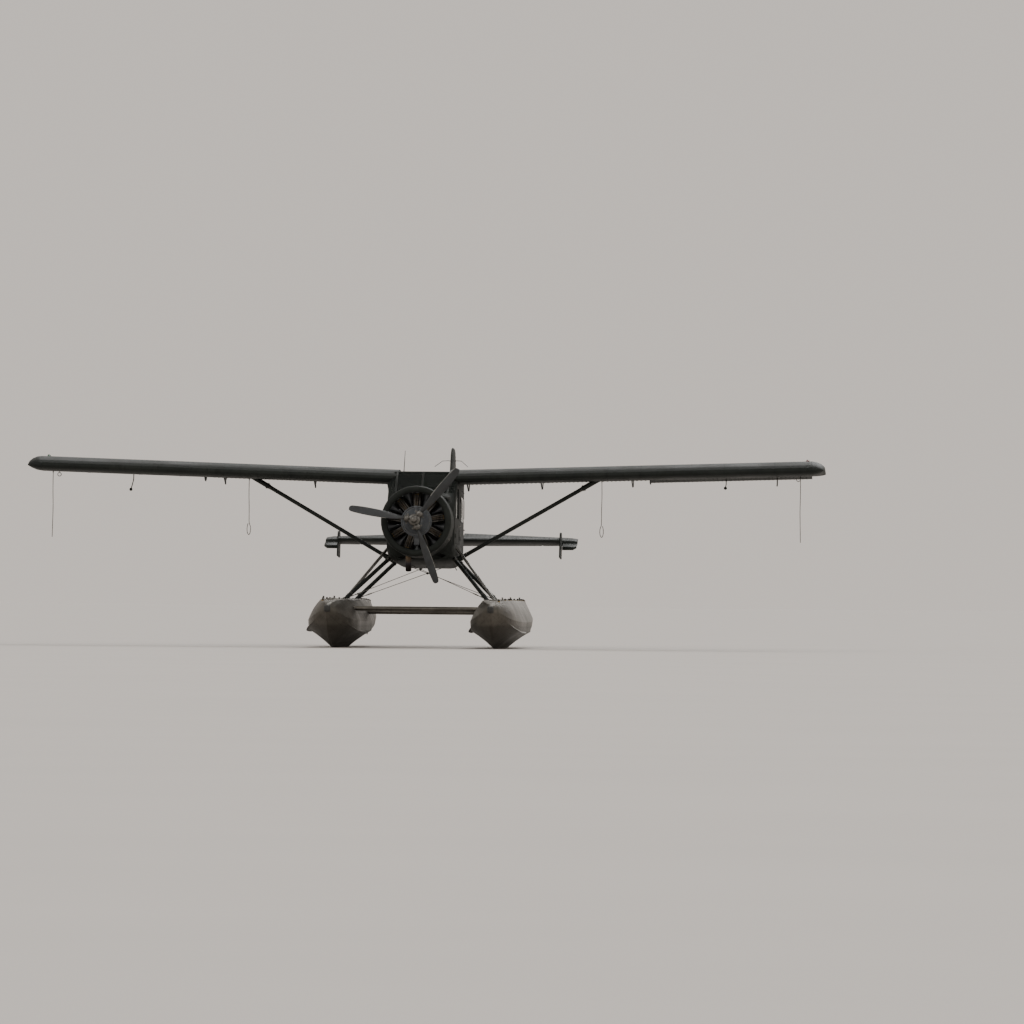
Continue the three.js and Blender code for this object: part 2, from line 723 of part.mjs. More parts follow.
function radiusAlongRudder(height) {
  const above = rudderSections.findIndex(([h]) => h >= height);
  const [h0, r0] = rudderSections[Math.max(0, above - 1)];
  const [h1, r1] = rudderSections[above];
  return h1 === h0 ? r1 : r0 + (r1 - r0) * (height - h0) / (h1 - h0);
}

const rudderHinges = [1250, 2150];

function finBody() {
  const rings = finSections.map(([height, leading, halfThick]) => fixedRing(
    upright, height, leading, rudderHinge - radiusAlongRudder(height) - runningGap - 2, halfThick));
  const tongues = rudderHinges.map((h) => block(-9, 9, rudderHinge - radiusAlongRudder(h) - 40,
    rudderHinge - hingePin - 0.4, h - 9, h + 9));
  const behindPost = [sternpostStation + 60, ...coneSections.at(-1).slice(1)];
  const cone = fuselageBody([...coneSections, behindPost], seatGap);
  return joined([solid(loft(rings)), ...tongues]).subtract(cone);
}

function rudderBody() {
  const rings = rudderSections.map(([height, radius, trailing]) => movingRing(
    upright, height, rudderHinge, radius, trailing));
  const notches = rudderHinges.map(
    (h) => block(-80, 80, rudderHinge - 80, rudderHinge + 16, h - 16, h + 16));
  const pins = rudderHinges.map(
    (h) => rod(at(0, rudderHinge, h - 18), at(0, rudderHinge, h + 18), hingePin, 8));
  return joined([notches.reduce((left, notch) => left.subtract(notch), solid(loft(rings))), ...pins]);
}

function finlet() {
  const outline = roundedOutline([
    [5190, 455, 40], [5690, 440, 60], [5730, 690, 20], [5690, 950, 60], [5330, 940, 90]]);
  return sidePrism(outline, stabilizerHalf + seatGap, stabilizerHalf + 22);
}

addPiece(airframe, 'tail_cone', tailCone(stabilizer(seatGap)), 'paint');
addPiece(airframe, 'stabilizer', joined([stabilizer(), ...elevatorTongues()]), 'paint');
addPiece(airframe, 'fin', finBody(), 'paint');
addPiece(airframe, 'rudder', rudderBody(), 'paint');
const elevatorPiece = elevatorBody();
const finletPiece = finlet();
for (const side of [port, starboard]) {
  const name = sideNames.get(side);
  const half = new THREE.Group();
  half.scale.x = side;
  airframe.add(half);
  addPiece(half, `finlet_${name}`, finletPiece, 'paint');
  const elevatorPivot = pivotAt(half, elevatorHinge, tailHeight, elevatorRest);
  addPiece(elevatorPivot, `elevator_${name}`, elevatorPiece, 'paint');
}

// Engine: a single-row radial, with its cowl, the propeller and the exhaust

const crankAxis = at(0, 0, thrustHeight);
const cowlWall = 22;
const cowlSides = 5 * cylinderCount;

// One cylinder along +Z, with its fins, rocker boxes, pushrod tubes and the pad that carries the cowl
function cylinderBody() {
  const barrelFins = { count: 2, foot: 285, pitch: 52, core: 68, rim: 88 };
  const headFins = { count: 2, foot: 402, pitch: 58, core: 84, rim: 108 };
  const profile = [[0, 190], [barrelFins.core, 190]];
  for (const fins of [barrelFins, headFins]) {
    for (let i = 0; i < fins.count; i += 1) {
      const foot = fins.foot + i * fins.pitch;
      profile.push([fins.core, foot], [fins.rim, foot + 0.45 * fins.pitch]);
    }
  }
  profile.push([headFins.core, 525], [0, 525]);
  const standUp = new THREE.Matrix4().makeRotationX(Math.PI / 2);
  const barrel = solid(geometryOf(turned(profile, 8, new THREE.Vector3())), standUp);
  const ways = [-1, 1];
  const rockers = ways.map((way) => block(way * 52 - 26, way * 52 + 26, -60, 50, 515, 590));
  const pushrods = ways.map((way) => rod(at(way * 46, -98, 205), at(way * 54, -66, 548), 11, 5));
  const pad = block(-20, 20, -15, 15, 510, cowlRadius - cowlWall - 2);
  return joined([barrel, ...rockers, ...pushrods, pad]);
}

function engineBody() {
  const crankcase = turned([
    [0, hubRear + 0.4], [46, hubRear + 0.4], [46, -1975], [112, -1960], [150, -1860], [232, -1730],
    [262, -1650], [262, -1465], [235, -1420], [235, -1300], [330, -1280], [330, noseFront - seatGap],
    [0, noseFront - seatGap],
  ], 27, crankAxis);
  const cylinder = geometryOf(cylinderBody());
  const ring = Array.from({ length: cylinderCount }, (_, i) => {
    const turn = new THREE.Matrix4().makeRotationY((i * 2 * Math.PI) / cylinderCount);
    return solid(cylinder, turn.setPosition(0, cylinderStation, thrustHeight));
  });
  return joined([crankcase, ...ring]);
}

function cowlBody() {
  const lip = { radius: 580, station: cowlFront + 60, round: 60 };
  const lipArc = Array.from({ length: 7 }, (_, i) => {
    const angle = (i * 30) * degrees;
    return [lip.radius + lip.round * Math.cos(angle), lip.station - lip.round * Math.sin(angle)];
  });
  const inner = cowlRadius - cowlWall;
  return turned([
    [cowlRadius - 20, cowlRear], [cowlRadius, cowlRear - 110], ...lipArc,
    [lip.radius - 42, lip.station + 8], [inner, lip.station + 50], [inner, cowlRear - 110],
    [inner - 20, cowlRear], [cowlRadius - 20, cowlRear],
  ], cowlSides, crankAxis);
}

const noseSections = [
  [noseFront, 470, 210, 1150, 464, 464],
  [-1090, 556, 124, 1236, 520, 520],
  [firewallStation - seatGap, 604, 44, 1264, 330, 430],
];

function exhaustPipe() {
  const bend = new THREE.QuadraticBezierCurve3(
    at(-200, -1012, 150), at(-200, -1015, -60), at(-200, -955, -165));
  const section = new THREE.Shape().absarc(0, 0, 54, 0, 2 * Math.PI);
  section.holes.push(new THREE.Path().absarc(0, 0, 46, 0, 2 * Math.PI));
  const tube = new THREE.ExtrudeGeometry(section, { extrudePath: bend, steps: 5, curveSegments: 6 });
  return solid(tube).subtract(fuselageBody(noseSections, seatGap)).subtract(fuselageCover);
}

const bladeSections = [
  // [radius, chord, thickness, angle to the disc]
  [120, 84, 76, 60], [235, 92, 60, 52], [380, 140, 38, 44], [640, 168, 24, 33], [930, 160, 16, 26],
  [1150, 122, 10, 21], [propRadius, 96, 8, 20],
];

function bladeBody(angle) {
  const outward = at(Math.cos(angle), 0, Math.sin(angle));
  const leading = at(-Math.sin(angle), 0, Math.cos(angle));
  // the blade's section: share of the chord, share of the thickness
  const outline = [
    [0.5, 0], [0.34, 0.36], [0.05, 0.5], [-0.25, 0.36], [-0.5, 0.04],
    [-0.5, -0.04], [-0.2, -0.3], [0.1, -0.42], [0.36, -0.3],
  ];
  return solid(loft(bladeSections.map(([radius, chord, thickness, pitch]) => {
    const chordLine = leading.clone().multiplyScalar(Math.cos(pitch * degrees))
      .addScaledVector(ahead, Math.sin(pitch * degrees));
    const face = outward.clone().cross(chordLine);
    return outline.map(([c, t]) => at(0, propStation, thrustHeight).addScaledVector(outward, radius)
      .addScaledVector(chordLine, c * chord).addScaledVector(face, t * thickness));
  })));
}

function propellerBody() {
  const hub = turned([
    [0, propStation - 190], [38, propStation - 184], [62, propStation - 160], [68, propStation - 85],
    [104, propStation - 70], [112, propStation], [96, hubRear], [0, hubRear],
  ], 24, crankAxis);
  const parts = bladeAngles.flatMap((degree) => {
    const angle = degree * degrees;
    const root = at(60 * Math.cos(angle), propStation, thrustHeight + 60 * Math.sin(angle));
    const end = at(190 * Math.cos(angle), propStation, thrustHeight + 190 * Math.sin(angle));
    return [rod(root, end, 62, 16), bladeBody(angle)];
  });
  return joined([hub, ...parts]);
}

addPiece(airframe, 'engine', engineBody(), 'engine');
addPiece(airframe, 'engine_cowl', cowlBody(), 'paint');
addPiece(airframe, 'nose_cowl', fuselageBody(noseSections), 'paint');
addPiece(airframe, 'exhaust_pipe', exhaustPipe(), 'steel');
addPiece(airframe, 'propeller', propellerBody(), 'blade');

// Floats

const floatSections = [
  // [station, keel, chine out, chine height, side out, side height,
  //  shoulder out, shoulder height, deck out, deck height]
  [bowStation, 640, 40, 668, 52, 700, 46, 742, 26, 762],
  [-2980, 470, 150, 590, 168, 640, 150, 740, 70, 806],
  [-2750, 260, 275, 470, 300, 560, 250, 738, 130, 842],
  [-2400, 92, 385, 372, 402, 510, 324, 722, 190, 862],
  [keelFlatStart, 0, 440, 318, 452, 490, 362, 706, 222, deckHeight],
  [-600, 0, 450, 300, 460, 480, 368, 702, 226, deckHeight],
  [stepStation, 0, 450, 300, 460, 480, 368, 702, 226, deckHeight],
];
const afterbodySections = [
  [stepStation - 1, 72, 440, 312, 458, 482, 366, 702, 225, deckHeight],
  [2000, 252, 372, 398, 396, 524, 318, 706, 200, deckHeight - 2],
  [3300, 424, 250, 498, 276, 584, 226, 712, 150, deckHeight - 12],
  [sternStation, 548, 120, 590, 140, 640, 118, 738, 84, deckHeight - 34],
];
const bumperSections = [
  [bowStation - 55, 668, 34, 684, 46, 702, 40, 740, 22, 754],
  [bowStation - 20, 654, 40, 684, 54, 702, 48, 740, 28, 760],
  [bowStation + 30, 640, 46, 684, 62, 702, 56, 740, 34, 766],
];
const keelHalf = 22;

function floatRing(section, extra) {
  const [station, keel, chineOut, chineHeight, sideOut, sideHeight, ...top] = section;
  const [shoulderOut, shoulderHeight, deckOut, deck] = top;
  const half = [
    [keelHalf, keel - extra], [chineOut + extra, chineHeight - extra], [sideOut + extra, sideHeight],
    [shoulderOut + extra, shoulderHeight + extra], [deckOut + extra, deck + extra],
  ];
  const mirrored = half.slice().reverse().map(([x, z]) => [-x, z]);
  return [...half, ...mirrored].map(([x, z]) => at(x, station, z));
}

function floatBody(extra = 0) {
  const hull = (sections) => solid(loft(sections.map((section) => floatRing(section, extra))));
  return hull(floatSections).add(hull(afterbodySections));
}

const floatMiddle = floatSpacing / 2;
const rudderPost = sternStation + 60;

// The water rudder's post turns between two lugs on the stern
const postLow = 644;
const postHigh = 792;

function sternLugs() {
  return [postLow - 24, postHigh].map((z) => block(-12, 12, sternStation - 60, rudderPost + 12, z, z + 24));
}

function cleat(station, x) {
  return joined([
    block(x - 12, x + 12, station - 22, station + 22, deckHeight - 40, deckHeight + 38),
    rod(at(x, station - 95, deckHeight + 44), at(x, station + 95, deckHeight + 44), 13, 8),
  ]);
}

function strutShoe(station, x) {
  return block(x - 34, x + 34, station - 95, station + 95, deckHeight - 60, deckHeight + 14);
}

const frontFoot = -1600;
const rearFoot = 500;
const shoeX = strutFootX - floatMiddle;

function floatPiece() {
  const cleats = [-2250, -300, 1900].map((station) => cleat(station, 150));
  const bumper = solid(loft(bumperSections.map((section) => floatRing(section, 0))));
  const shoes = [frontFoot, rearFoot].map((station) => strutShoe(station, shoeX));
  return joined([floatBody(), bumper, ...sternLugs(), ...cleats, ...shoes]);
}

function waterRudder() {
  const blade = sidePrism(roundedOutline([
    [rudderPost + 26, 250, 40], [rudderPost + 235, 200, 60], [rudderPost + 300, 430, 40],
    [rudderPost + 110, 740, 50], [rudderPost + 26, 740, 10],
  ]), -9, 9);
  const post = rod(at(0, rudderPost, postLow + 0.4), at(0, rudderPost, postHigh - 0.4), 10, 10);
  const head = block(-13, 13, rudderPost, rudderPost + 60, 660, 735);
  const tiller = block(-70, 70, rudderPost - 12, rudderPost + 12, 750, 764);
  return joined([blade, post, head, tiller]);
}

// Undercarriage struts and wires. The airframe is seen from the floats' own frame

const undercarriage = new THREE.Group();
undercarriage.position.set(0, stationShift, 0);
floatplane.add(undercarriage);
const airframeFromFloats = airframe.matrix.clone().setPosition(0, 0, bellyHeight);
const fuselageFromFloats = solid(geometryOf(fuselageCover), airframeFromFloats);

const shoeTop = deckHeight + 14;
const strutLines = {
  front: {
    foot: at(strutFootX, frontFoot, shoeTop - 20), head: at(530, -372, 1690),
    barHeight: 708, wireHead: at(520, -385, 1650),
  },
  rear: {
    foot: at(strutFootX, rearFoot, shoeTop - 20), head: at(530, 800, 1625),
    barHeight: 645, wireHead: at(470, 800, 1535),
  },
};
const belowShoe = block(-2000, 2000, -3000, 5000, 0, shoeTop + seatGap);

function floatStrut(line, extra = 0) {
  return strut(line.foot, line.head, 134, 72, extra);
}

function floatCover(side) {
  const shoes = [frontFoot, rearFoot].map((station) => block(shoeX - 34.3, shoeX + 34.3,
    station - 95.3, station + 95.3, deckHeight - 60, shoeTop + seatGap));
  const place = new THREE.Matrix4().makeScale(side, 1, 1).setPosition(side * floatMiddle, 0, 0);
  return solid(geometryOf(joined([floatBody(seatGap), ...shoes])), place);
}

const bothFloats = joined([floatCover(port), floatCover(starboard)]);

function spreaderBar(line) {
  const end = at(floatMiddle - 250, line.foot.y, line.barHeight);
  return strut(end.clone().setX(-end.x), end, 150, 84).subtract(bothFloats);
}

function braceWires(line) {
  const cover = floatStrut(line, seatGap);
  const covers = cover.add(mirroredX([cover])[0]);
  const wires = [port, starboard].map((side) => rod(
    at(side * strutFootX, line.foot.y, shoeTop - 6),
    at(-side * line.wireHead.x, line.wireHead.y, line.wireHead.z), 6, 6));
  return joined(wires).subtract(bothFloats).subtract(covers).subtract(fuselageFromFloats);
}

// The boarding ladder, from the float's deck to the sill below the cockpit door
const ladder = {
  foot: at(1400, -960, deckHeight - 40), head: at(600, -500, 1850),
  width: 290, rungs: [0.24, 0.47, 0.7],
};

function boardingLadder() {
  const shift = at(0, ladder.width, 0);
  const rails = [0, 1].map((n) => rod(ladder.foot.clone().addScaledVector(shift, n),
    ladder.head.clone().addScaledVector(shift, n), 17, 8));
  const rungs = ladder.rungs.map((share) => {
    const near = ladder.foot.clone().lerp(ladder.head, share);
    return rod(near, near.clone().add(shift), 14, 8);
  });
  return joined([...rails, ...rungs]).subtract(bothFloats).subtract(fuselageFromFloats);
}

// Mooring ropes that hang from lugs under the wing: points from the top, in the floats' frame
const ropeRadius = 7;
const ropes = {
  outer: {
    top: at(6870, 86, 3152.7),
    route: [[0, 0, 0], [2, 3, -300], [-3, 5, -620], [2, 2, -900], [8, -3, -1180]],
  },
  inner: {
    top: at(3242, 80, 3038.8),
    route: [
      [0, 0, 0], [3, 2, -250], [-2, 4, -500], [-3, 2, -700], [-6, 0, -780], [-28, -2, -850],
      [-31, -3, -915], [-18, -3, -975], [2, -2, -998], [22, -1, -972], [33, 0, -912], [30, 0, -850],
      [17, 0, -792],
    ],
  },
};

function ropeTube({ top, route }) {
  const points = route.map((offset) => at(...offset).add(top));
  const curve = new THREE.CatmullRomCurve3(points, false, 'centripetal');
  const section = new THREE.Shape().absarc(0, 0, ropeRadius, 0, 2 * Math.PI);
  const steps = Math.round(curve.getLength() / 62);
  return solid(new THREE.ExtrudeGeometry(section, { extrudePath: curve, steps, curveSegments: 4 }));
}

for (const [place, line] of Object.entries(strutLines)) {
  addPiece(undercarriage, `spreader_bar_${place}`, spreaderBar(line), 'bareMetal');
  addPiece(undercarriage, `brace_wires_${place}`, braceWires(line), 'steel');
}
const floatShape = floatPiece();
const waterRudderPiece = waterRudder();
const ladderPiece = boardingLadder();
for (const side of [port, starboard]) {
  const name = sideNames.get(side);
  const half = new THREE.Group();
  half.scale.x = side;
  undercarriage.add(half);
  const float = new THREE.Group();
  float.position.x = floatMiddle;
  half.add(float);
  addPiece(float, `float_${name}`, floatShape, 'bareMetal');
  addPiece(float, `water_rudder_${name}`, waterRudderPiece, 'bareMetal');
  addPiece(half, `ladder_${name}`, ladderPiece, 'steel');
  for (const [place, line] of Object.entries(strutLines)) {
    const body = floatStrut(line).subtract(belowShoe).subtract(fuselageFromFloats);
    addPiece(half, `${place}_float_strut_${name}`, body, 'paint');
  }
  for (const [place, rope] of Object.entries(ropes)) {
    addPiece(half, `rope_${place}_${name}`, ropeTube(rope), 'rope');
  }
}

export default floatplane;
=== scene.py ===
# Floatplane: finishes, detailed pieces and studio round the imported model
import math
import bmesh
import bpy
from mathutils import Matrix, Vector
from mathutils.bvhtree import BVHTree


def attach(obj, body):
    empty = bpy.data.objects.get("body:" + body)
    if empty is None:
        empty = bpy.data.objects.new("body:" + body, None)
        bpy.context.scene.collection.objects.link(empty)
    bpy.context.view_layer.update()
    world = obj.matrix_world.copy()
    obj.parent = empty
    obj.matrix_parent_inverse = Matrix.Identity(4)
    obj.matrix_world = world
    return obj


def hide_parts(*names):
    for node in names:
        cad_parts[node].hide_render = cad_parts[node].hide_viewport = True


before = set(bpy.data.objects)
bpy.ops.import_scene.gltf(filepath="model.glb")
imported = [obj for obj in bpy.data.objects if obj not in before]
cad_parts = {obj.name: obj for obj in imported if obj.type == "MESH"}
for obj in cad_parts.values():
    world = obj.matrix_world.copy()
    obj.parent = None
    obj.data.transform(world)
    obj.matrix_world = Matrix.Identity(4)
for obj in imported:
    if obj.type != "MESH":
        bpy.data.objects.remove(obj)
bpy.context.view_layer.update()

# Camera first: a long lens from ahead and a little to port, close above the water
photo = {
    "size": 1024,              # pixels across the frame
    "pixelsPerMetre": 54.6,    # at the wing
    "centreline": 425.0,       # pixel column of the fuselage at the wing struts
    "waterRow": 625.3,         # pixel row where the floats meet the water
    "waterHeight": 0.42,       # metres above the keels
    "horizonRow": 602.0,
    "azimuth": 4.3,            # degrees to port of dead ahead
    "roll": 0.5,
    "distance": 130.0,
    "strutPlane": -1.786,      # Y of the wing struts' plane
}


def addCamera():
    scale = 1 / photo["pixelsPerMetre"]
    middle = photo["size"] / 2
    swing = math.radians(photo["azimuth"])
    across = Vector((math.cos(swing), math.sin(swing), 0))
    ahead = Vector((-math.sin(swing), math.cos(swing), 0))
    aim = Vector((0, photo["strutPlane"], photo["waterHeight"]))
    aim += across * (middle - photo["centreline"]) * scale
    aim.z += (photo["waterRow"] - middle) * scale
    place = aim - ahead * photo["distance"]
    place.z = photo["waterHeight"] + (photo["waterRow"] - photo["horizonRow"]) * scale
    bpy.ops.object.camera_add(location=place)
    camera = bpy.context.object
    camera.name = "photoCamera"
    camera.data.sensor_width = 36
    camera.data.lens = 36 * photo["distance"] / (photo["size"] * scale)
    camera.data.clip_end = 3000
    look = (aim - place).to_track_quat("-Z", "Y").to_matrix()
    tilt = Matrix.Rotation(math.radians(photo["roll"]), 3, "Z")
    camera.rotation_euler = (look @ tilt).to_euler()
    bpy.context.scene.camera = camera


addCamera()

# The fuselage sits nose-up on the floats. Stations and heights become frame coordinates here
rigging = {"pitch": 3.0, "belly": 1.520, "shift": -1.8645, "wingHeight": 1.528, "dihedral": 1.8}
pitchTurn = Matrix.Rotation(math.radians(-rigging["pitch"]), 4, "X")
airframePlace = Matrix.Translation((0, rigging["shift"], rigging["belly"])) @ pitchTurn
floatsPlace = Matrix.Translation((0, rigging["shift"], 0))
sides = {"left": 1, "right": -1}


def wingPlace(side):
    rise = Matrix.Rotation(math.radians(-side * rigging["dihedral"]), 4, "Y")
    return airframePlace @ Matrix.Translation((0, 0, rigging["wingHeight"])) @ rise


# Modelling helpers

def deselectAll():
    if bpy.context.object and bpy.context.object.mode != "OBJECT":
        bpy.ops.object.mode_set(mode="OBJECT")
    for piece in bpy.context.selected_objects:
        piece.select_set(False)


def activate(piece):
    deselectAll()
    piece.select_set(True)
    bpy.context.view_layer.objects.active = piece


def settle(piece):
    activate(piece)
    bpy.ops.object.transform_apply(location=True, rotation=True, scale=True)
    return piece


def applyModifier(piece, kind, **settings):
    activate(piece)
    modifier = piece.modifiers.new(kind, kind)
    for key, value in settings.items():
        setattr(modifier, key, value)
    bpy.ops.object.modifier_apply(modifier=modifier.name)
    return piece


def smoothByAngle(piece, degrees=35):
    activate(piece)
    bpy.ops.object.shade_smooth_by_angle(angle=math.radians(degrees))
    return piece


def coated(piece, material, angle=None):
    # that finish on the part, and smooth up to that angle
    piece.data.materials.append(material)
    return piece if angle is None else smoothByAngle(piece, angle)


def editMesh(piece):
    activate(piece)
    bpy.ops.object.mode_set(mode="EDIT")
    bpy.ops.mesh.select_all(action="SELECT")
    return bmesh.from_edit_mesh(piece.data)


def leaveEdit():
    bpy.ops.object.mode_set(mode="OBJECT")


def turnOut(piece):
    # faces outward again, after spin, mirror or a negative scale
    editMesh(piece)
    bpy.ops.mesh.remove_doubles(threshold=0.00002)
    bpy.ops.mesh.select_all(action="SELECT")
    bpy.ops.mesh.normals_make_consistent(inside=False)
    leaveEdit()
    return piece


def joinParts(name, parts):
    deselectAll()
    for part in parts:
        part.select_set(True)
    bpy.context.view_layer.objects.active = parts[0]
    if len(parts) > 1:
        bpy.ops.object.join()
    whole = bpy.context.object
    whole.name = name
    whole.data.name = name
    return settle(whole)


def placed(piece, place):
    # a copy with its own mesh, at that place
    twin = piece.copy()
    twin.data = piece.data.copy()
    bpy.context.scene.collection.objects.link(twin)
    twin.matrix_world = place @ piece.matrix_world
    settle(twin)
    return turnOut(twin) if place.determinant() < 0 else twin


def removed(*pieces):
    for piece in pieces:
        bpy.data.objects.remove(piece, do_unlink=True)


mirrorX = Matrix.Scale(-1, 4, (1, 0, 0))


def finishPiece(piece, name, body, slot, *materials, stands=()):
    piece.name = name
    piece.data.name = name
    if materials:
        piece.data.materials.clear()
        for material in materials:
            piece.data.materials.append(material)
    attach(piece, body)
    if stands:
        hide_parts(*stands)
    return piece


def box(x0, x1, y0, y1, z0, z1, bevel=0.0, segments=2):
    # a block between those limits, its edges rounded
    bpy.ops.mesh.primitive_cube_add(size=1, location=((x0 + x1) / 2, (y0 + y1) / 2, (z0 + z1) / 2))
    piece = bpy.context.object
    piece.scale = (x1 - x0, y1 - y0, z1 - z0)
    settle(piece)
    if bevel:
        applyModifier(piece, "BEVEL", width=bevel, segments=segments, limit_method="NONE")
    return piece


def rodBetween(start, end, radius, sides=12, endRadius=None):
    start, end = Vector(start), Vector(end)
    line = end - start
    middle = (start + end) / 2
    bpy.ops.mesh.primitive_cone_add(
        vertices=sides, radius1=radius, radius2=radius if endRadius is None else endRadius,
        depth=line.length, location=middle, rotation=line.to_track_quat("Z", "Y").to_euler())
    return settle(bpy.context.object)


def hoopAt(place, radius, wire, steps, sides):
    # an upright ring that faces forward
    bpy.ops.mesh.primitive_torus_add(major_radius=radius, minor_radius=wire, major_segments=steps,
                                     minor_segments=sides, location=place, rotation=(math.pi / 2, 0, 0))
    return settle(bpy.context.object)


def spunProfile(profile, steps=48, axis="Z"):
    # a closed profile of (radius, along) spun all round the axis
    bpy.ops.mesh.primitive_circle_add(vertices=len(profile), radius=1, fill_type="NOTHING")
    piece = bpy.context.object
    for point, (radius, along) in zip(piece.data.vertices, profile):
        point.co = (radius, 0, along)
    editMesh(piece)
    bpy.ops.mesh.spin(steps=steps, angle=2 * math.pi, center=(0, 0, 0), axis=(0, 0, 1))
    bpy.ops.mesh.select_all(action="SELECT")
    bpy.ops.mesh.remove_doubles(threshold=0.00002)
    bpy.ops.mesh.select_all(action="SELECT")
    bpy.ops.mesh.normals_make_consistent(inside=False)
    leaveEdit()
    if axis == "Y":
        piece.rotation_euler = (math.pi / 2, 0, 0)   # along +Z becomes along -Y
        settle(piece)
    return piece


def tubeAlong(points, radius, sides=8, smooth=True, closed=False):
    # a round tube that follows the points
    curve = bpy.data.curves.new("tube", "CURVE")
    curve.dimensions = "3D"
    curve.bevel_depth = radius
    curve.bevel_resolution = max(0, sides // 2 - 2)
    curve.use_fill_caps = True
    line = curve.splines.new("POLY")
    line.points.add(len(points) - 1)
    line.use_cyclic_u = closed
    for point, place in zip(line.points, points):
        point.co = (*place, 1)
    piece = bpy.data.objects.new("tube", curve)
    bpy.context.scene.collection.objects.link(piece)
    activate(piece)
    bpy.ops.object.convert(target="MESH")
    piece = bpy.context.object
    if smooth:
        smoothByAngle(piece, 50)
    return piece


def extrudedThrough(rings, closed=True):
    # a ring of points, extruded from section to section
    fill = "NGON" if closed else "NOTHING"
    bpy.ops.mesh.primitive_circle_add(vertices=len(rings[0]), radius=1, fill_type=fill)
    piece = bpy.context.object
    for point, place in zip(piece.data.vertices, rings[0]):
        point.co = place
    editMesh(piece)
    for ring in rings[1:]:
        bpy.ops.mesh.extrude_region_move()
        shape = bmesh.from_edit_mesh(piece.data)
        if closed:
            moved = next(f for f in shape.faces if f.select).verts
        else:
            moved = sorted((v for v in shape.verts if v.select), key=lambda v: v.index)
        for point, place in zip(moved, ring):
            point.co = place
        bmesh.update_edit_mesh(piece.data)
    bpy.ops.mesh.select_all(action="SELECT")
    bpy.ops.mesh.normals_make_consistent(inside=False)
    leaveEdit()
    return piece


def eased(table, at):
    # a smooth value between the rows of a table, whose first column is the place
    rows = [tuple(map(float, row)) for row in table]
    if at <= rows[0][0]:
        return rows[0][1:]
    for i, (low, high) in enumerate(zip(rows, rows[1:])):
        if at <= high[0]:
            break
    else:
        return rows[-1][1:]
    before = rows[i - 1] if i else low
    after = rows[i + 2] if i + 2 < len(rows) else high
    gap = high[0] - low[0]
    t = (at - low[0]) / gap
    found = []
    for p, a, b, q in zip(before[1:], low[1:], high[1:], after[1:]):
        slopeA = (b - p) / (high[0] - before[0]) * gap
        slopeB = (q - a) / (after[0] - low[0]) * gap
        found.append(a * (2 * t ** 3 - 3 * t * t + 1) + slopeA * (t ** 3 - 2 * t * t + t)
                     + b * (3 * t * t - 2 * t ** 3) + slopeB * (t ** 3 - t * t))
    return tuple(found)


def roundedOutline(corners, radius, steps=6):
    # the corners of a flat outline rounded, as points all the way round
    points = []
    for i, corner in enumerate(corners):
        corner = Vector(corner)
        before, after = Vector(corners[i - 1]), Vector(corners[(i + 1) % len(corners)])
        start = corner + (before - corner).normalized() * radius
        end = corner + (after - corner).normalized() * radius
        for k in range(steps + 1):
            t = k / steps
            points.append(start * (1 - t) ** 2 + corner * 2 * t * (1 - t) + end * t * t)
    return points


def rectangle(x0, x1, y0, y1):
    return [(x0, y0), (x1, y0), (x1, y1), (x0, y1)]


def shrunk(outline, share):
    # the outline drawn in towards its middle
    middle = sum(outline, Vector((0, 0))) / len(outline)
    return [middle + (p - middle) * share for p in outline]


def loopTube(points, radius, sides=8):
    # a round tube whose ends meet
    return turnOut(tubeAlong(points, radius, sides, closed=True))


surfaces = {}


def onSurface(node, start, direction):
    # where a line from that place first meets a solid of the model
    if node not in surfaces:
        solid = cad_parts[node]
        points = [solid.matrix_world @ v.co for v in solid.data.vertices]
        surfaces[node] = BVHTree.FromPolygons(points, [tuple(p.vertices) for p in solid.data.polygons])
    place = surfaces[node].ray_cast(Vector(start), Vector(direction))[0]
    return Vector(start) if place is None else place


# Colours and nodes

def srgb(hexColour):
    parts = [int(hexColour[i:i + 2], 16) / 255 for i in (0, 2, 4)]
    linear = [c / 12.92 if c <= 0.04045 else ((c + 0.055) / 1.055) ** 2.4 for c in parts]
    return (*linear, 1.0)


def plugIn(tree, node, inputs):
    # inputs by name or number: a node or socket is linked, anything else is set
    for key, value in inputs.items():
        socket = node.inputs[key] if isinstance(key, int) else next(
            s for s in node.inputs if s.name == key and s.enabled)
        if isinstance(value, bpy.types.Node):
            value = next(o for o in value.outputs if o.enabled)
        if isinstance(value, bpy.types.NodeSocket):
            tree.links.new(value, socket)
        else:
            socket.default_value = value


def addNode(tree, kind, inputs=None, **settings):
    made = tree.nodes.new(kind)
    for key, value in settings.items():
        setattr(made, key, value)
    plugIn(tree, made, inputs or {})
    return made


def startMaterial(name, **constants):
    material = bpy.data.materials.new(name)
    material.use_nodes = True
    tree = material.node_tree
    shader = tree.nodes["Principled BSDF"]
    for key, value in constants.items():
        shader.inputs[key.replace("_", " ")].default_value = value
    return material, tree, shader


print("camera and tools ready")

# Sheet metal: lap seams and rows of rivets, on station, span or height. Real seams are 1 mm wide and
# rivet heads 5 mm at 25 mm pitch; both are drawn coarser, as one render pixel is 18 mm
sheetWork = {"seamWidth": 0.0045, "rivetRadius": 0.0065, "rivetPitch": 0.048, "rowInset": 0.017}


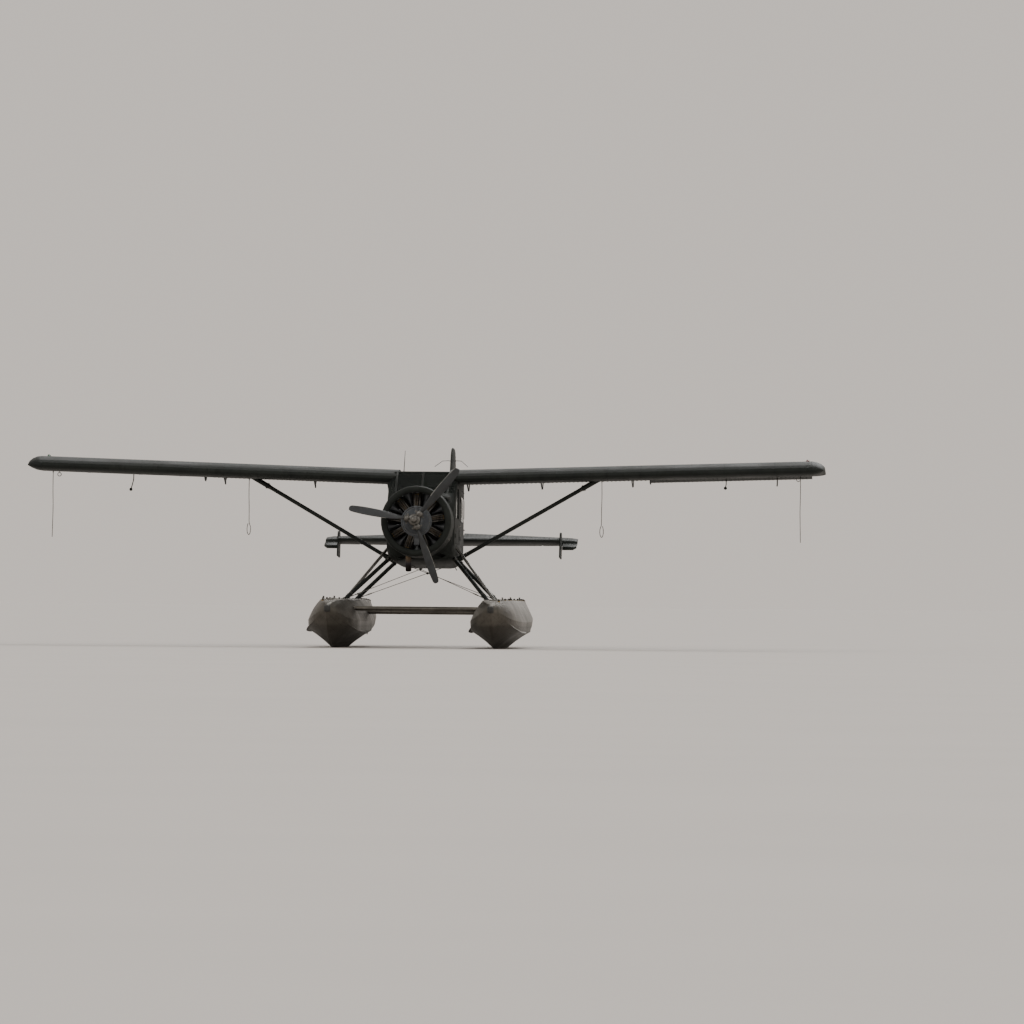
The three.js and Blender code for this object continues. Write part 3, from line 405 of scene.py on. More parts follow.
def seamNet(tree, along, across, spacing):
    # returns seam lines and rivet heads where "along" passes each multiple of the spacing
    seam = addNode(tree, "ShaderNodeMath", {0: along, 1: spacing / 2}, operation="PINGPONG")
    line = addNode(tree, "ShaderNodeMapRange", {
        "Value": seam, "From Min": sheetWork["seamWidth"], "From Max": 0.0})
    row = addNode(tree, "ShaderNodeMath", {0: seam, 1: sheetWork["rowInset"]}, operation="SUBTRACT")
    step = addNode(tree, "ShaderNodeMath", {0: across, 1: sheetWork["rivetPitch"] / 2}, operation="PINGPONG")
    offset = addNode(tree, "ShaderNodeCombineXYZ", {"X": row, "Y": step})
    reach = addNode(tree, "ShaderNodeVectorMath", {0: offset}, operation="LENGTH")
    head = addNode(tree, "ShaderNodeMapRange", {
        "Value": reach, "From Min": sheetWork["rivetRadius"], "From Max": 0.0})
    return line, head


def sheetPattern(tree, along, across, alongSpacing, acrossSpacing):
    lines, heads = zip(
        seamNet(tree, along, across, alongSpacing), seamNet(tree, across, along, acrossSpacing))
    line = addNode(tree, "ShaderNodeMath", {0: lines[0], 1: lines[1]}, operation="MAXIMUM")
    head = addNode(tree, "ShaderNodeMath", {0: heads[0], 1: heads[1]}, operation="MAXIMUM")
    return line, head


def roundTheRing(tree, across, height, middle, turnsAt):
    # distance round a hull or fuselage ring: up the side, then inward over the shoulder
    out = addNode(tree, "ShaderNodeMath", {0: across, 1: middle}, operation="SUBTRACT")
    out = addNode(tree, "ShaderNodeMath", {0: out}, operation="ABSOLUTE")
    above = addNode(tree, "ShaderNodeMath", {0: height, 1: turnsAt}, operation="GREATER_THAN")
    inward = addNode(tree, "ShaderNodeMapRange", {"Value": above, "To Min": 1.0, "To Max": -1.0})
    return addNode(tree, "ShaderNodeMath", {0: out, 1: inward, 2: height}, operation="MULTIPLY_ADD")


def airframeCoordinates(tree):
    coordinates = addNode(tree, "ShaderNodeTexCoord").outputs["Object"]
    level = addNode(tree, "ShaderNodeMapping", {
        "Vector": coordinates, "Location": (0, rigging["shift"], rigging["belly"]),
        "Rotation": (math.radians(-rigging["pitch"]), 0, 0)}, vector_type="TEXTURE")
    return level, addNode(tree, "ShaderNodeSeparateXYZ", {0: level})


# Aluminium sheet under sprayed enamel, years old: a satin skin gone chalky in places, dull along the
# seams, with soot streaks that run aft
enamel = {
    "colour": "1f2220", "faded": "292c29", "shadow": "191b19", "seam": "0f100f",
    "roughness": (0.52, 0.68),
    "fadePatch": 1.1,      # patches per metre
    "streak": (5.0, 0.55, 5.0),
    "fuselage": (0.508, 0.40), "wing": (0.305, 0.46), "tail": (0.26, 0.34),
}


def sprayedEnamel(name, spacing, layout):
    material, tree, shader = startMaterial(name, Metallic=0.0, IOR=1.45, Specular_IOR_Level=0.14)
    level, parts = airframeCoordinates(tree)
    span, station, height = parts.outputs
    if layout == "ring":
        along, across = station, roundTheRing(tree, span, height, 0.0, 0.85)
    elif layout == "span":
        along, across = span, station
    else:
        along, across = height, station
    line, head = sheetPattern(tree, along, across, *spacing)
    patch = addNode(tree, "ShaderNodeTexNoise", {
        "Vector": level, "Scale": enamel["fadePatch"], "Detail": 6.0, "Roughness": 0.6})
    stretched = addNode(tree, "ShaderNodeMapping", {"Vector": level, "Scale": enamel["streak"]})
    streak = addNode(tree, "ShaderNodeTexNoise", {"Vector": stretched, "Scale": 1.6, "Detail": 5.0})
    # orange peel of the spray coat, about 3 mm, drawn at 8 mm
    peel = addNode(tree, "ShaderNodeTexNoise", {"Vector": level, "Scale": 120.0, "Detail": 2.0})
    fade = addNode(tree, "ShaderNodeMapRange", {"Value": patch, "From Min": 0.42, "From Max": 0.68})
    grime = addNode(tree, "ShaderNodeMapRange", {
        "Value": streak, "From Min": 0.5, "From Max": 0.75, "To Max": 0.7})
    colour = addNode(tree, "ShaderNodeMix", {
        "Factor": fade, "A": srgb(enamel["colour"]), "B": srgb(enamel["faded"])}, data_type="RGBA")
    colour = addNode(tree, "ShaderNodeMix", {
        "Factor": grime, "A": colour, "B": srgb(enamel["shadow"])}, data_type="RGBA")
    seamShade = addNode(tree, "ShaderNodeMath", {0: line, 1: 0.75}, operation="MULTIPLY")
    colour = addNode(tree, "ShaderNodeMix", {
        "Factor": seamShade, "A": colour, "B": srgb(enamel["seam"])}, data_type="RGBA")
    low, high = enamel["roughness"]
    rough = addNode(tree, "ShaderNodeMapRange", {
        "Value": patch, "From Min": 0.35, "From Max": 0.7, "To Min": low, "To Max": high})
    # oil canning: each bay of thin sheet bows by about a millimetre
    canning = addNode(tree, "ShaderNodeTexNoise", {"Vector": level, "Scale": 2.6, "Detail": 0.0})
    relief = addNode(tree, "ShaderNodeMath", {0: head, 1: 0.6, 2: canning}, operation="MULTIPLY_ADD")
    relief = addNode(tree, "ShaderNodeMath", {0: line, 1: -1.2, 2: relief}, operation="MULTIPLY_ADD")
    relief = addNode(tree, "ShaderNodeMath", {0: peel, 1: 0.03, 2: relief}, operation="MULTIPLY_ADD")
    bump = addNode(tree, "ShaderNodeBump", {"Height": relief, "Distance": 0.003, "Strength": 0.8})
    plugIn(tree, shader, {"Base Color": colour, "Roughness": rough, "Normal": bump})
    return material


fuselageEnamel = sprayedEnamel("enamelledSheetFuselage", enamel["fuselage"], "ring")
wingEnamel = sprayedEnamel("enamelledSheetWing", enamel["wing"], "span")
tailEnamel = sprayedEnamel("enamelledSheetTail", enamel["tail"], "span")
finEnamel = sprayedEnamel("enamelledSheetFin", enamel["tail"], "upright")


# Bare aluminium sheet, rolled and riveted: bright where hands and water rub it, oxidised grey in
# patches, stained below the waterline, with runs down the sides
bareSheet = {
    "bright": "6a665f", "oxide": "57544e", "stain": "37342f", "run": "494640", "seam": "262522",
    "roughness": (0.34, 0.58),
    "seams": (0.46, 0.21),
    "waterline": 0.42,
    "floatMiddle": 1.465,
}


def rolledAluminium(name, seams=True, stained=True):
    material, tree, shader = startMaterial(name, Metallic=0.92)
    coordinates = addNode(tree, "ShaderNodeTexCoord").outputs["Object"]
    parts = addNode(tree, "ShaderNodeSeparateXYZ", {0: coordinates})
    out = addNode(tree, "ShaderNodeMath", {0: parts.outputs[0]}, operation="ABSOLUTE")
    height = parts.outputs[2]
    patch = addNode(tree, "ShaderNodeTexNoise", {
        "Vector": coordinates, "Scale": 2.2, "Detail": 7.0, "Roughness": 0.62})
    # scuffs of a few millimetres, drawn at 10 mm
    scuff = addNode(tree, "ShaderNodeTexNoise", {
        "Vector": coordinates, "Scale": 90.0, "Detail": 4.0, "Roughness": 0.7})
    fallen = addNode(tree, "ShaderNodeMapping", {"Vector": coordinates, "Scale": (9.0, 9.0, 0.7)})
    runs = addNode(tree, "ShaderNodeTexNoise", {"Vector": fallen, "Scale": 2.0, "Detail": 5.0})
    oxidised = addNode(tree, "ShaderNodeMapRange", {"Value": patch, "From Min": 0.40, "From Max": 0.62})
    colour = addNode(tree, "ShaderNodeMix", {
        "Factor": oxidised, "A": srgb(bareSheet["bright"]), "B": srgb(bareSheet["oxide"])}, data_type="RGBA")
    ran = addNode(tree, "ShaderNodeMapRange", {
        "Value": runs, "From Min": 0.52, "From Max": 0.72, "To Max": 0.5})
    colour = addNode(tree, "ShaderNodeMix", {
        "Factor": ran, "A": colour, "B": srgb(bareSheet["run"])}, data_type="RGBA")
    relief = addNode(tree, "ShaderNodeMath", {0: scuff, 1: 0.08}, operation="MULTIPLY")
    rough = addNode(tree, "ShaderNodeMath", {0: patch, 1: 0.7, 2: scuff}, operation="MULTIPLY_ADD")
    if stained:
        uneven = addNode(tree, "ShaderNodeMath", {0: runs, 1: 0.10, 2: height}, operation="MULTIPLY_ADD")
        below = addNode(tree, "ShaderNodeMapRange", {
            "Value": uneven, "From Min": bareSheet["waterline"] + 0.08,
            "From Max": bareSheet["waterline"] + 0.02, "To Max": 0.62})
        colour = addNode(tree, "ShaderNodeMix", {
            "Factor": below, "A": colour, "B": srgb(bareSheet["stain"])}, data_type="RGBA")
    if seams:
        ring = roundTheRing(tree, out, height, bareSheet["floatMiddle"], 0.60)
        line, head = sheetPattern(tree, parts.outputs[1], ring, *bareSheet["seams"])
        seamShade = addNode(tree, "ShaderNodeMath", {0: line, 1: 0.7}, operation="MULTIPLY")
        colour = addNode(tree, "ShaderNodeMix", {
            "Factor": seamShade, "A": colour, "B": srgb(bareSheet["seam"])}, data_type="RGBA")
        relief = addNode(tree, "ShaderNodeMath", {0: head, 1: 0.6, 2: relief}, operation="MULTIPLY_ADD")
        relief = addNode(tree, "ShaderNodeMath", {0: line, 1: -1.0, 2: relief}, operation="MULTIPLY_ADD")
    low, high = bareSheet["roughness"]
    rough = addNode(tree, "ShaderNodeMapRange", {
        "Value": rough, "From Min": 0.55, "From Max": 1.1, "To Min": low, "To Max": high})
    bump = addNode(tree, "ShaderNodeBump", {"Height": relief, "Distance": 0.003, "Strength": 0.8})
    plugIn(tree, shader, {"Base Color": colour, "Roughness": rough, "Normal": bump})
    return material


floatSheet = rolledAluminium("aluminiumSheetRivetedFloat")
drawnAluminium = rolledAluminium("aluminiumTubeDrawn", seams=False, stained=False)


# Plain finishes share one build: two tones in patches, grain in the bump, roughness that follows both
plainFinishes = {
    # first tone, second tone, patches a metre, grains a metre, relief, metallic, least and most roughness
    # steel tube, ground and oiled: fine grain, even grey
    "steelTubeGround": ("6c6a66", "565450", 9.0, 240.0, 0.15, 1.0, 0.24, 0.40),
    # stainless wire and fittings, drawn: brighter than the tube
    "stainlessWireDrawn": ("7d7b76", "605e5a", 14.0, 400.0, 0.1, 1.0, 0.2, 0.34),
    # crankcase casting under grey enamel: pebbly skin, oil film
    "castingEnamelledGrey": ("5d6164", "43464a", 7.0, 160.0, 0.5, 0.1, 0.32, 0.55),
    # cylinder heads, cast and baked: dark, dry, dusty between the fins
    "castingFinnedBaked": ("4a4744", "2c2a28", 12.0, 220.0, 0.35, 0.55, 0.42, 0.66),
    # rocker covers and pushrod tubes: black enamel over steel, chipped to a dull shine
    "enamelBlackBaked": ("1c1d1f", "2b2c2e", 16.0, 120.0, 0.1, 0.0, 0.22, 0.42),
    # propeller blades: matt black sprayed on forged aluminium, dusty
    "bladePaintSprayedMatt": ("202224", "2e3133", 6.0, 150.0, 0.12, 0.0, 0.42, 0.58),
    # the blades' leading edges, polished by spray
    "bladeEdgeForgedWorn": ("a5a39d", "77756f", 25.0, 300.0, 0.3, 1.0, 0.25, 0.45),
    # instrument panel and glareshield: crackle lacquer, baked
    "crackleLacquerBaked": ("1d1e1f", "29292a", 20.0, 320.0, 0.9, 0.0, 0.55, 0.75),
    # window seals, hoses, bumpers and grips: moulded neoprene, bloomed grey
    "neopreneMoulded": ("1b1b1a", "33322f", 10.0, 180.0, 0.3, 0.0, 0.6, 0.8),
    # cabin lining: vinyl over board, pressed grain
    "vinylLiningPressed": ("57544d", "49463f", 5.0, 260.0, 0.6, 0.0, 0.55, 0.7),
    # lap straps: nylon webbing, woven flat, sun-faded
    "webbingWoven": ("3a3d3a", "4b4d48", 12.0, 420.0, 0.7, 0.0, 0.7, 0.85),
    # glareshield: black vinyl over foam, pressed grain
    "vinylBlackPressed": ("1e1e1d", "2a2a28", 6.0, 260.0, 0.6, 0.0, 0.5, 0.66),
    # mixture knob: red phenolic, turned and polished by hands
    "leverKnobRed": ("7a1c18", "5e1714", 30.0, 200.0, 0.05, 0.0, 0.2, 0.34),
    # dial faces: silk matt black behind glass
    "dialFacePrinted": ("0d0e0f", "141516", 30.0, 200.0, 0.02, 0.0, 0.12, 0.2),
    # dial marks, pointers, placards left blank: off-white enamel
    "enamelIvoryPrinted": ("d8d4c4", "c6c1af", 30.0, 200.0, 0.02, 0.0, 0.4, 0.5),
    # ignition leads: tinned braid over rubber, gone brown with oil
    "leadBraided": ("6e6353", "4f473c", 30.0, 420.0, 0.6, 0.4, 0.4, 0.6),
    # brass unions, gauze and drain cocks
    "brassTurned": ("9c7f45", "7b6437", 22.0, 300.0, 0.15, 1.0, 0.28, 0.45),
}


def plainFinish(name):
    first, second, patches, grains, relief, metallic, low, high = plainFinishes[name]
    material, tree, shader = startMaterial(name, Metallic=metallic)
    coordinates = addNode(tree, "ShaderNodeTexCoord").outputs["Object"]
    patch = addNode(tree, "ShaderNodeTexNoise", {
        "Vector": coordinates, "Scale": patches, "Detail": 6.0, "Roughness": 0.6})
    grain = addNode(tree, "ShaderNodeTexNoise", {
        "Vector": coordinates, "Scale": grains, "Detail": 3.0, "Roughness": 0.6})
    worn = addNode(tree, "ShaderNodeMapRange", {"Value": patch, "From Min": 0.38, "From Max": 0.64})
    colour = addNode(tree, "ShaderNodeMix", {
        "Factor": worn, "A": srgb(first), "B": srgb(second)}, data_type="RGBA")
    mixed = addNode(tree, "ShaderNodeMath", {0: grain, 1: 0.4, 2: patch}, operation="MULTIPLY_ADD")
    rough = addNode(tree, "ShaderNodeMapRange", {
        "Value": mixed, "From Min": 0.5, "From Max": 0.95, "To Min": low, "To Max": high})
    bump = addNode(tree, "ShaderNodeBump", {"Height": grain, "Distance": 0.001, "Strength": relief})
    plugIn(tree, shader, {"Base Color": colour, "Roughness": rough, "Normal": bump})
    return material


finish = {name: plainFinish(name) for name in plainFinishes}
# those that most fittings have
steel, rubber, greyCasting, blackEnamel, brass = (finish[name] for name in (
    "steelTubeGround", "neopreneMoulded", "castingEnamelledGrey", "enamelBlackBaked", "brassTurned"))


# Exhaust stack: rolled stainless, straw and blue where it runs hot, sooty at the mouth
def heatStained():
    material, tree, shader = startMaterial("stainlessSheetHeatStained", Metallic=1.0)
    level, parts = airframeCoordinates(tree)
    mottle = addNode(tree, "ShaderNodeTexNoise", {"Vector": level, "Scale": 14.0, "Detail": 5.0})
    drop = addNode(tree, "ShaderNodeMath", {0: mottle, 1: 0.12, 2: parts.outputs[2]}, operation="MULTIPLY_ADD")
    share = addNode(tree, "ShaderNodeMapRange", {"Value": drop, "From Min": 0.22, "From Max": -0.14})
    tint = addNode(tree, "ShaderNodeValToRGB", {"Fac": share})
    stops = tint.color_ramp.elements
    stops[0].color = srgb("5a4c3c")
    stops[1].position, stops[1].color = 1.0, srgb("1d1a18")
    for place, hexColour in ((0.3, "5f5243"), (0.55, "3f3d43"), (0.8, "2d2824")):
        stops.new(place).color = srgb(hexColour)
    rough = addNode(tree, "ShaderNodeMapRange", {"Value": share, "To Min": 0.32, "To Max": 0.72})
    bump = addNode(tree, "ShaderNodeBump", {"Height": mottle, "Distance": 0.001, "Strength": 0.3})
    plugIn(tree, shader, {"Base Color": tint, "Roughness": rough, "Normal": bump})
    return material


# Acrylic sheet, moulded to the frames: clear square on and bright at a glance, with a thin veil of dust
def mouldedAcrylic():
    material, tree, shader = startMaterial("acrylicSheetMoulded", IOR=1.49, Roughness=0.03)
    coordinates = addNode(tree, "ShaderNodeTexCoord").outputs["Object"]
    dust = addNode(tree, "ShaderNodeTexNoise", {"Vector": coordinates, "Scale": 5.0, "Detail": 5.0})
    veil = addNode(tree, "ShaderNodeMix", {
        "Factor": dust, "A": srgb("39403e"), "B": srgb("5a615d")}, data_type="RGBA")
    glance = addNode(tree, "ShaderNodeLayerWeight", {"Blend": 0.5}).outputs["Facing"]
    # the fifth power is how glass mirrors at a glance
    sheen = addNode(tree, "ShaderNodeMath", {0: glance, 1: 5.0}, operation="POWER")
    cover = addNode(tree, "ShaderNodeMapRange", {"Value": sheen, "To Min": 0.08, "To Max": 1.0})
    plugIn(tree, shader, {"Base Color": veil, "Alpha": cover})
    return material


# Lamp lenses: pressed coloured glass with fine vertical flutes
def pressedLens(name, colour):
    material, tree, shader = startMaterial(name, IOR=1.52, Transmission_Weight=0.6, Coat_Weight=0.5)
    coordinates = addNode(tree, "ShaderNodeTexCoord").outputs["Object"]
    flute = addNode(tree, "ShaderNodeTexWave", {
        "Vector": coordinates, "Scale": 60.0, "Distortion": 0.0}).outputs["Fac"]
    shade = addNode(tree, "ShaderNodeMapRange", {"Value": flute, "To Min": 0.0, "To Max": 0.25})
    deeper = addNode(tree, "ShaderNodeMix", {
        "Factor": shade, "A": srgb(colour), "B": srgb("101010")}, data_type="RGBA")
    bump = addNode(tree, "ShaderNodeBump", {"Height": flute, "Distance": 0.0005, "Strength": 0.4})
    rough = addNode(tree, "ShaderNodeMapRange", {
        "Value": flute, "To Min": 0.08, "To Max": 0.2})
    plugIn(tree, shader, {"Base Color": deeper, "Normal": bump, "Roughness": rough})
    return material


# Seat cloth: wool mix, plain weave of 1.2 mm threads drawn at 5 mm, sun-faded on the crowns
seatCloth = {"colour": "3d3c39", "faded": "55534c", "thread": 0.005}


def wovenSeatCloth():
    material, tree, shader = startMaterial(
        "woolClothWoven", IOR=1.5, Sheen_Weight=0.35, Sheen_Roughness=0.5, Roughness=0.85)
    coordinates = addNode(tree, "ShaderNodeTexCoord").outputs["Object"]
    turned = addNode(tree, "ShaderNodeMapping", {"Vector": coordinates, "Rotation": (0.3, 0.2, 0.5)})
    weft = addNode(tree, "ShaderNodeTexWave", {
        "Vector": turned, "Scale": 0.314 / seatCloth["thread"], "Distortion": 0.6,
        "Detail": 1.0}, bands_direction="X")
    warp = addNode(tree, "ShaderNodeTexWave", {
        "Vector": turned, "Scale": 0.314 / seatCloth["thread"], "Distortion": 0.6,
        "Detail": 1.0}, bands_direction="Z")
    weave = addNode(tree, "ShaderNodeMath", {
        0: weft.outputs["Fac"], 1: warp.outputs["Fac"]}, operation="MULTIPLY")
    patch = addNode(tree, "ShaderNodeTexNoise", {"Vector": coordinates, "Scale": 6.0, "Detail": 5.0})
    fade = addNode(tree, "ShaderNodeMapRange", {"Value": patch, "From Min": 0.4, "From Max": 0.7})
    colour = addNode(tree, "ShaderNodeMix", {
        "Factor": fade, "A": srgb(seatCloth["colour"]), "B": srgb(seatCloth["faded"])}, data_type="RGBA")
    # the gaps between the threads are darkened towards near-black: painted shade between the threads
    threadGapShade = addNode(tree, "ShaderNodeMapRange", {"Value": weave, "To Min": 0.35, "To Max": 0.0})
    colour = addNode(tree, "ShaderNodeMix", {
        "Factor": threadGapShade, "A": colour, "B": srgb("171614")}, data_type="RGBA")
    bump = addNode(tree, "ShaderNodeBump", {"Height": weave, "Distance": 0.002, "Strength": 0.6})
    plugIn(tree, shader, {"Base Color": colour, "Normal": bump})
    return material


# Mooring rope: polyester, laid in three strands, weathered tan; fibres of 1 mm drawn at 2 mm
def laidRope():
    material, tree, shader = startMaterial(
        "polyesterRopeLaid", IOR=1.5, Sheen_Weight=0.25, Roughness=0.8)
    coordinates = addNode(tree, "ShaderNodeTexCoord").outputs["Object"]
    fibre = addNode(tree, "ShaderNodeTexNoise", {"Vector": coordinates, "Scale": 500.0, "Detail": 2.0})
    patch = addNode(tree, "ShaderNodeTexNoise", {"Vector": coordinates, "Scale": 12.0, "Detail": 4.0})
    colour = addNode(tree, "ShaderNodeMix", {
        "Factor": patch, "A": srgb("4f4638"), "B": srgb("39332a")}, data_type="RGBA")
    colour = addNode(tree, "ShaderNodeMix", {
        "Factor": fibre, "A": colour, "B": srgb("2b261f")}, data_type="RGBA")
    bump = addNode(tree, "ShaderNodeBump", {"Height": fibre, "Distance": 0.001, "Strength": 0.7})
    plugIn(tree, shader, {"Base Color": colour, "Normal": bump})
    return material


exhaustSteel = heatStained()
acrylic = mouldedAcrylic()
redLens = pressedLens("glassLensPressedRed", "a01812")
greenLens = pressedLens("glassLensPressedGreen", "0f7a3c")
seatWool = wovenSeatCloth()
ropeFibre = laidRope()
print("finishes ready")


# Mooring ropes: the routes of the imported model, in metres from the lug under the wing
ropes = {
    "outer": {
        "top": (6.870, 0.086, 3.1527),
        "route": [(0, 0, 0), (0.002, 0.003, -0.300), (-0.003, 0.005, -0.620), (0.002, 0.002, -0.900),
                  (0.008, -0.003, -1.180)],
        "end": "bare",
    },
    "inner": {
        "top": (3.242, 0.080, 3.0388),
        "route": [(0, 0, 0), (0.003, 0.002, -0.250), (-0.002, 0.004, -0.500), (-0.003, 0.002, -0.700),
                  (-0.006, 0, -0.780), (-0.028, -0.002, -0.850), (-0.031, -0.003, -0.915),
                  (-0.018, -0.003, -0.975), (0.002, -0.002, -0.998), (0.022, -0.001, -0.972),
                  (0.033, 0, -0.912), (0.030, 0, -0.850), (0.017, 0, -0.792)],
        "end": "knot",
    },
}
ropeLay = {"radius": 0.007, "strands": 3, "lead": 0.055, "ringsPerLead": 8, "strandSides": 6}


def centripetal(points, step):
    # points along the centripetal Catmull-Rom curve through those given
    points = [Vector(p) for p in points]
    chain = [2 * points[0] - points[1], *points, 2 * points[-1] - points[-2]]
    found = [points[0]]
    for a, b, c, d in zip(chain, chain[1:], chain[2:], chain[3:]):
        knots = [0.0]
        for p, q in ((a, b), (b, c), (c, d)):
            knots.append(knots[-1] + max(1e-6, (q - p).length) ** 0.5)
        t0, t1, t2, t3 = knots
        count = max(1, round((c - b).length / step))
        for i in range(1, count + 1):
            t = t1 + (t2 - t1) * i / count
            ab = a.lerp(b, (t - t0) / (t1 - t0))
            bc = b.lerp(c, (t - t1) / (t2 - t1))
            cd = c.lerp(d, (t - t2) / (t3 - t2))
            low = ab.lerp(bc, (t - t0) / (t2 - t0))
            high = bc.lerp(cd, (t - t1) / (t3 - t1))
            found.append(low.lerp(high, (t - t1) / (t2 - t1)))
    return found


def carriedFrames(points):
    # a direction across the line at each point, carried along without twist
    across = Vector((1, 0, 0))
    frames = []
    for i, here in enumerate(points):
        line = (points[min(i + 1, len(points) - 1)] - points[max(i - 1, 0)]).normalized()
        across = (across - line * across.dot(line)).normalized()
        frames.append((here, across, line.cross(across)))
    return frames


def hangRope(name, rope, mirror):
    top = Vector(rope["top"]) + Vector((0, rigging["shift"], 0))
    route = [top + Vector(offset) for offset in rope["route"]]
    if mirror:
        route = [Vector((-p.x, p.y, p.z)) for p in route]
    step = ropeLay["lead"] / ropeLay["ringsPerLead"]
    path = centripetal(route, step)
    strandRadius = ropeLay["radius"] * 0.62
    spread = ropeLay["radius"] - strandRadius
    strands = []
    for strand in range(ropeLay["strands"]):
        turn = 2 * math.pi * strand / ropeLay["strands"]
        line = [here + spread * (math.cos(turn + 2 * math.pi * i / ropeLay["ringsPerLead"]) * a
                                 + math.sin(turn + 2 * math.pi * i / ropeLay["ringsPerLead"]) * b)
                for i, (here, a, b) in enumerate(carriedFrames(path))]
        strands.append(tubeAlong(line, strandRadius, ropeLay["strandSides"]))
    piece = joinParts(name, strands)
    finishPiece(piece, name, "airframe", "rope", ropeFibre, stands=[name[:-5]])
    return piece


for place, rope in ropes.items():
    for name, side in sides.items():
        hangRope(f"rope_{place}_{name}_laid", rope, side < 0)
print("ropes hung")


# Every rigid sheet piece: a copy of its solid with merged points, smooth skin and crisp corners
def dressed(node, body, slot, *materials, angle=32, bevel=0.0):
    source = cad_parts[node]
    piece = source.copy()
    piece.data = source.data.copy()
    piece.parent = None
    bpy.context.scene.collection.objects.link(piece)
    piece.matrix_world = source.matrix_world
    settle(piece)
    editMesh(piece)
    bpy.ops.mesh.remove_doubles(threshold=0.00005)
    bpy.ops.mesh.select_all(action="SELECT")
    bpy.ops.mesh.tris_convert_to_quads(face_threshold=math.radians(8), shape_threshold=math.radians(60))
    leaveEdit()
    if bevel:
        applyModifier(piece, "BEVEL", width=bevel, segments=2, limit_method="ANGLE",
                      angle_limit=math.radians(40), use_clamp_overlap=True)
    smoothByAngle(piece, angle)
    applyModifier(piece, "WEIGHTED_NORMAL", keep_sharp=True)
    return finishPiece(piece, f"{node}_skin", body, slot, *materials, stands=[node])


dressings = [
    # node, body, slot, finish, smoothing angle, edge rounding in metres
    ("cabin_shell", "airframe", "painted_skin", fuselageEnamel, 32, 0.0),
    ("tail_cone", "airframe", "painted_skin", fuselageEnamel, 40, 0.0),
    ("nose_cowl", "airframe", "painted_skin", fuselageEnamel, 40, 0.0),
    ("engine_cowl", "airframe", "painted_skin", fuselageEnamel, 40, 0.0),
    ("stabilizer", "airframe", "painted_skin", tailEnamel, 40, 0.0),
    ("fin", "airframe", "painted_skin", finEnamel, 40, 0.0),
    ("rudder", "rudder", "painted_skin", finEnamel, 40, 0.0),
    ("exhaust_pipe", "airframe", "steel", exhaustSteel, 40, 0.0),
    ("windshield", "airframe", "glazing", acrylic, 40, 0.0),
    ("spreader_bar_front", "airframe", "float_metal", drawnAluminium, 40, 0.0),
    ("spreader_bar_rear", "airframe", "float_metal", drawnAluminium, 40, 0.0),
    ("brace_wires_front", "airframe", "steel", finish["stainlessWireDrawn"], 40, 0.0),
    ("brace_wires_rear", "airframe", "steel", finish["stainlessWireDrawn"], 40, 0.0),
]
for name in sides:
    dressings += [
        (f"wing_{name}", "airframe", "painted_skin", wingEnamel, 32, 0.0),
        (f"flap_{name}", f"flap_{name}", "painted_skin", wingEnamel, 40, 0.0),
        (f"aileron_{name}", f"aileron_{name}", "painted_skin", wingEnamel, 40, 0.0),
        (f"elevator_{name}", f"elevator_{name}", "painted_skin", tailEnamel, 40, 0.0),
        (f"finlet_{name}", "airframe", "painted_skin", finEnamel, 40, 0.003),
        (f"wing_strut_{name}", "airframe", "painted_skin", wingEnamel, 40, 0.0),
        (f"front_float_strut_{name}", "airframe", "painted_skin", wingEnamel, 40, 0.0),
        (f"rear_float_strut_{name}", "airframe", "painted_skin", wingEnamel, 40, 0.0),
        (f"rear_window_{name}", "airframe", "glazing", acrylic, 40, 0.0),
        (f"cockpit_door_{name}", f"cockpit_door_{name}", "painted_skin", fuselageEnamel, 32, 0.0),
        (f"cockpit_door_glass_{name}", f"cockpit_door_{name}", "glazing", acrylic, 40, 0.0),
        (f"cabin_door_{name}", f"cabin_door_{name}", "painted_skin", fuselageEnamel, 32, 0.0),
        (f"water_rudder_{name}", f"water_rudder_{name}", "float_metal", drawnAluminium, 40, 0.002),
        (f"ladder_{name}", "airframe", "steel", steel, 40, 0.0),
    ]
for node, body, slot, material, angle, bevel in dressings:
    dressed(node, body, slot, material, angle=angle, bevel=bevel)
print("sheet pieces dressed")


# Engine: nine finned cylinders round a two-part case, with pushrods, plugs, leads and baffles
engine = {
    "axisHeight": 0.680, "cylinders": 9, "cylinderStation": -1.560, "finSteps": 30,
    "barrel": dict(foot=0.262, pitch=0.0085, count=13, core=0.071, rim=0.089),
    "head": dict(foot=0.385, pitch=0.0105, count=13, core=0.080, rim=0.108),
    "crown": 0.528,
    # radius and station down the case, from the shaft's collar to the mount ring
    "case": [(0.046, -1.975), (0.060, -1.972), (0.112, -1.960), (0.132, -1.930), (0.138, -1.915),
             (0.150, -1.860), (0.176, -1.815), (0.214, -1.770), (0.232, -1.742), (0.250, -1.738),
             (0.250, -1.722), (0.236, -1.716), (0.258, -1.650), (0.262, -1.640), (0.262, -1.470),
             (0.250, -1.462), (0.250, -1.448), (0.236, -1.440), (0.235, -1.300), (0.328, -1.282),
             (0.328, -1.2105), (0.0, -1.2105), (0.0, -2.0636), (0.045, -2.0636)],
    "harness": (0.268, -1.735),   # radius and station of the ignition ring
    "plugs": (0.432, -0.088),     # height on the cylinder, ahead of its axis
    # nose-case studs: from, to, height, radius, how many
    "nuts": [(-1.752, -1.738, 0.240, 0.0085, 24), (-1.945, -1.926, 0.124, 0.0075, 12)],
}


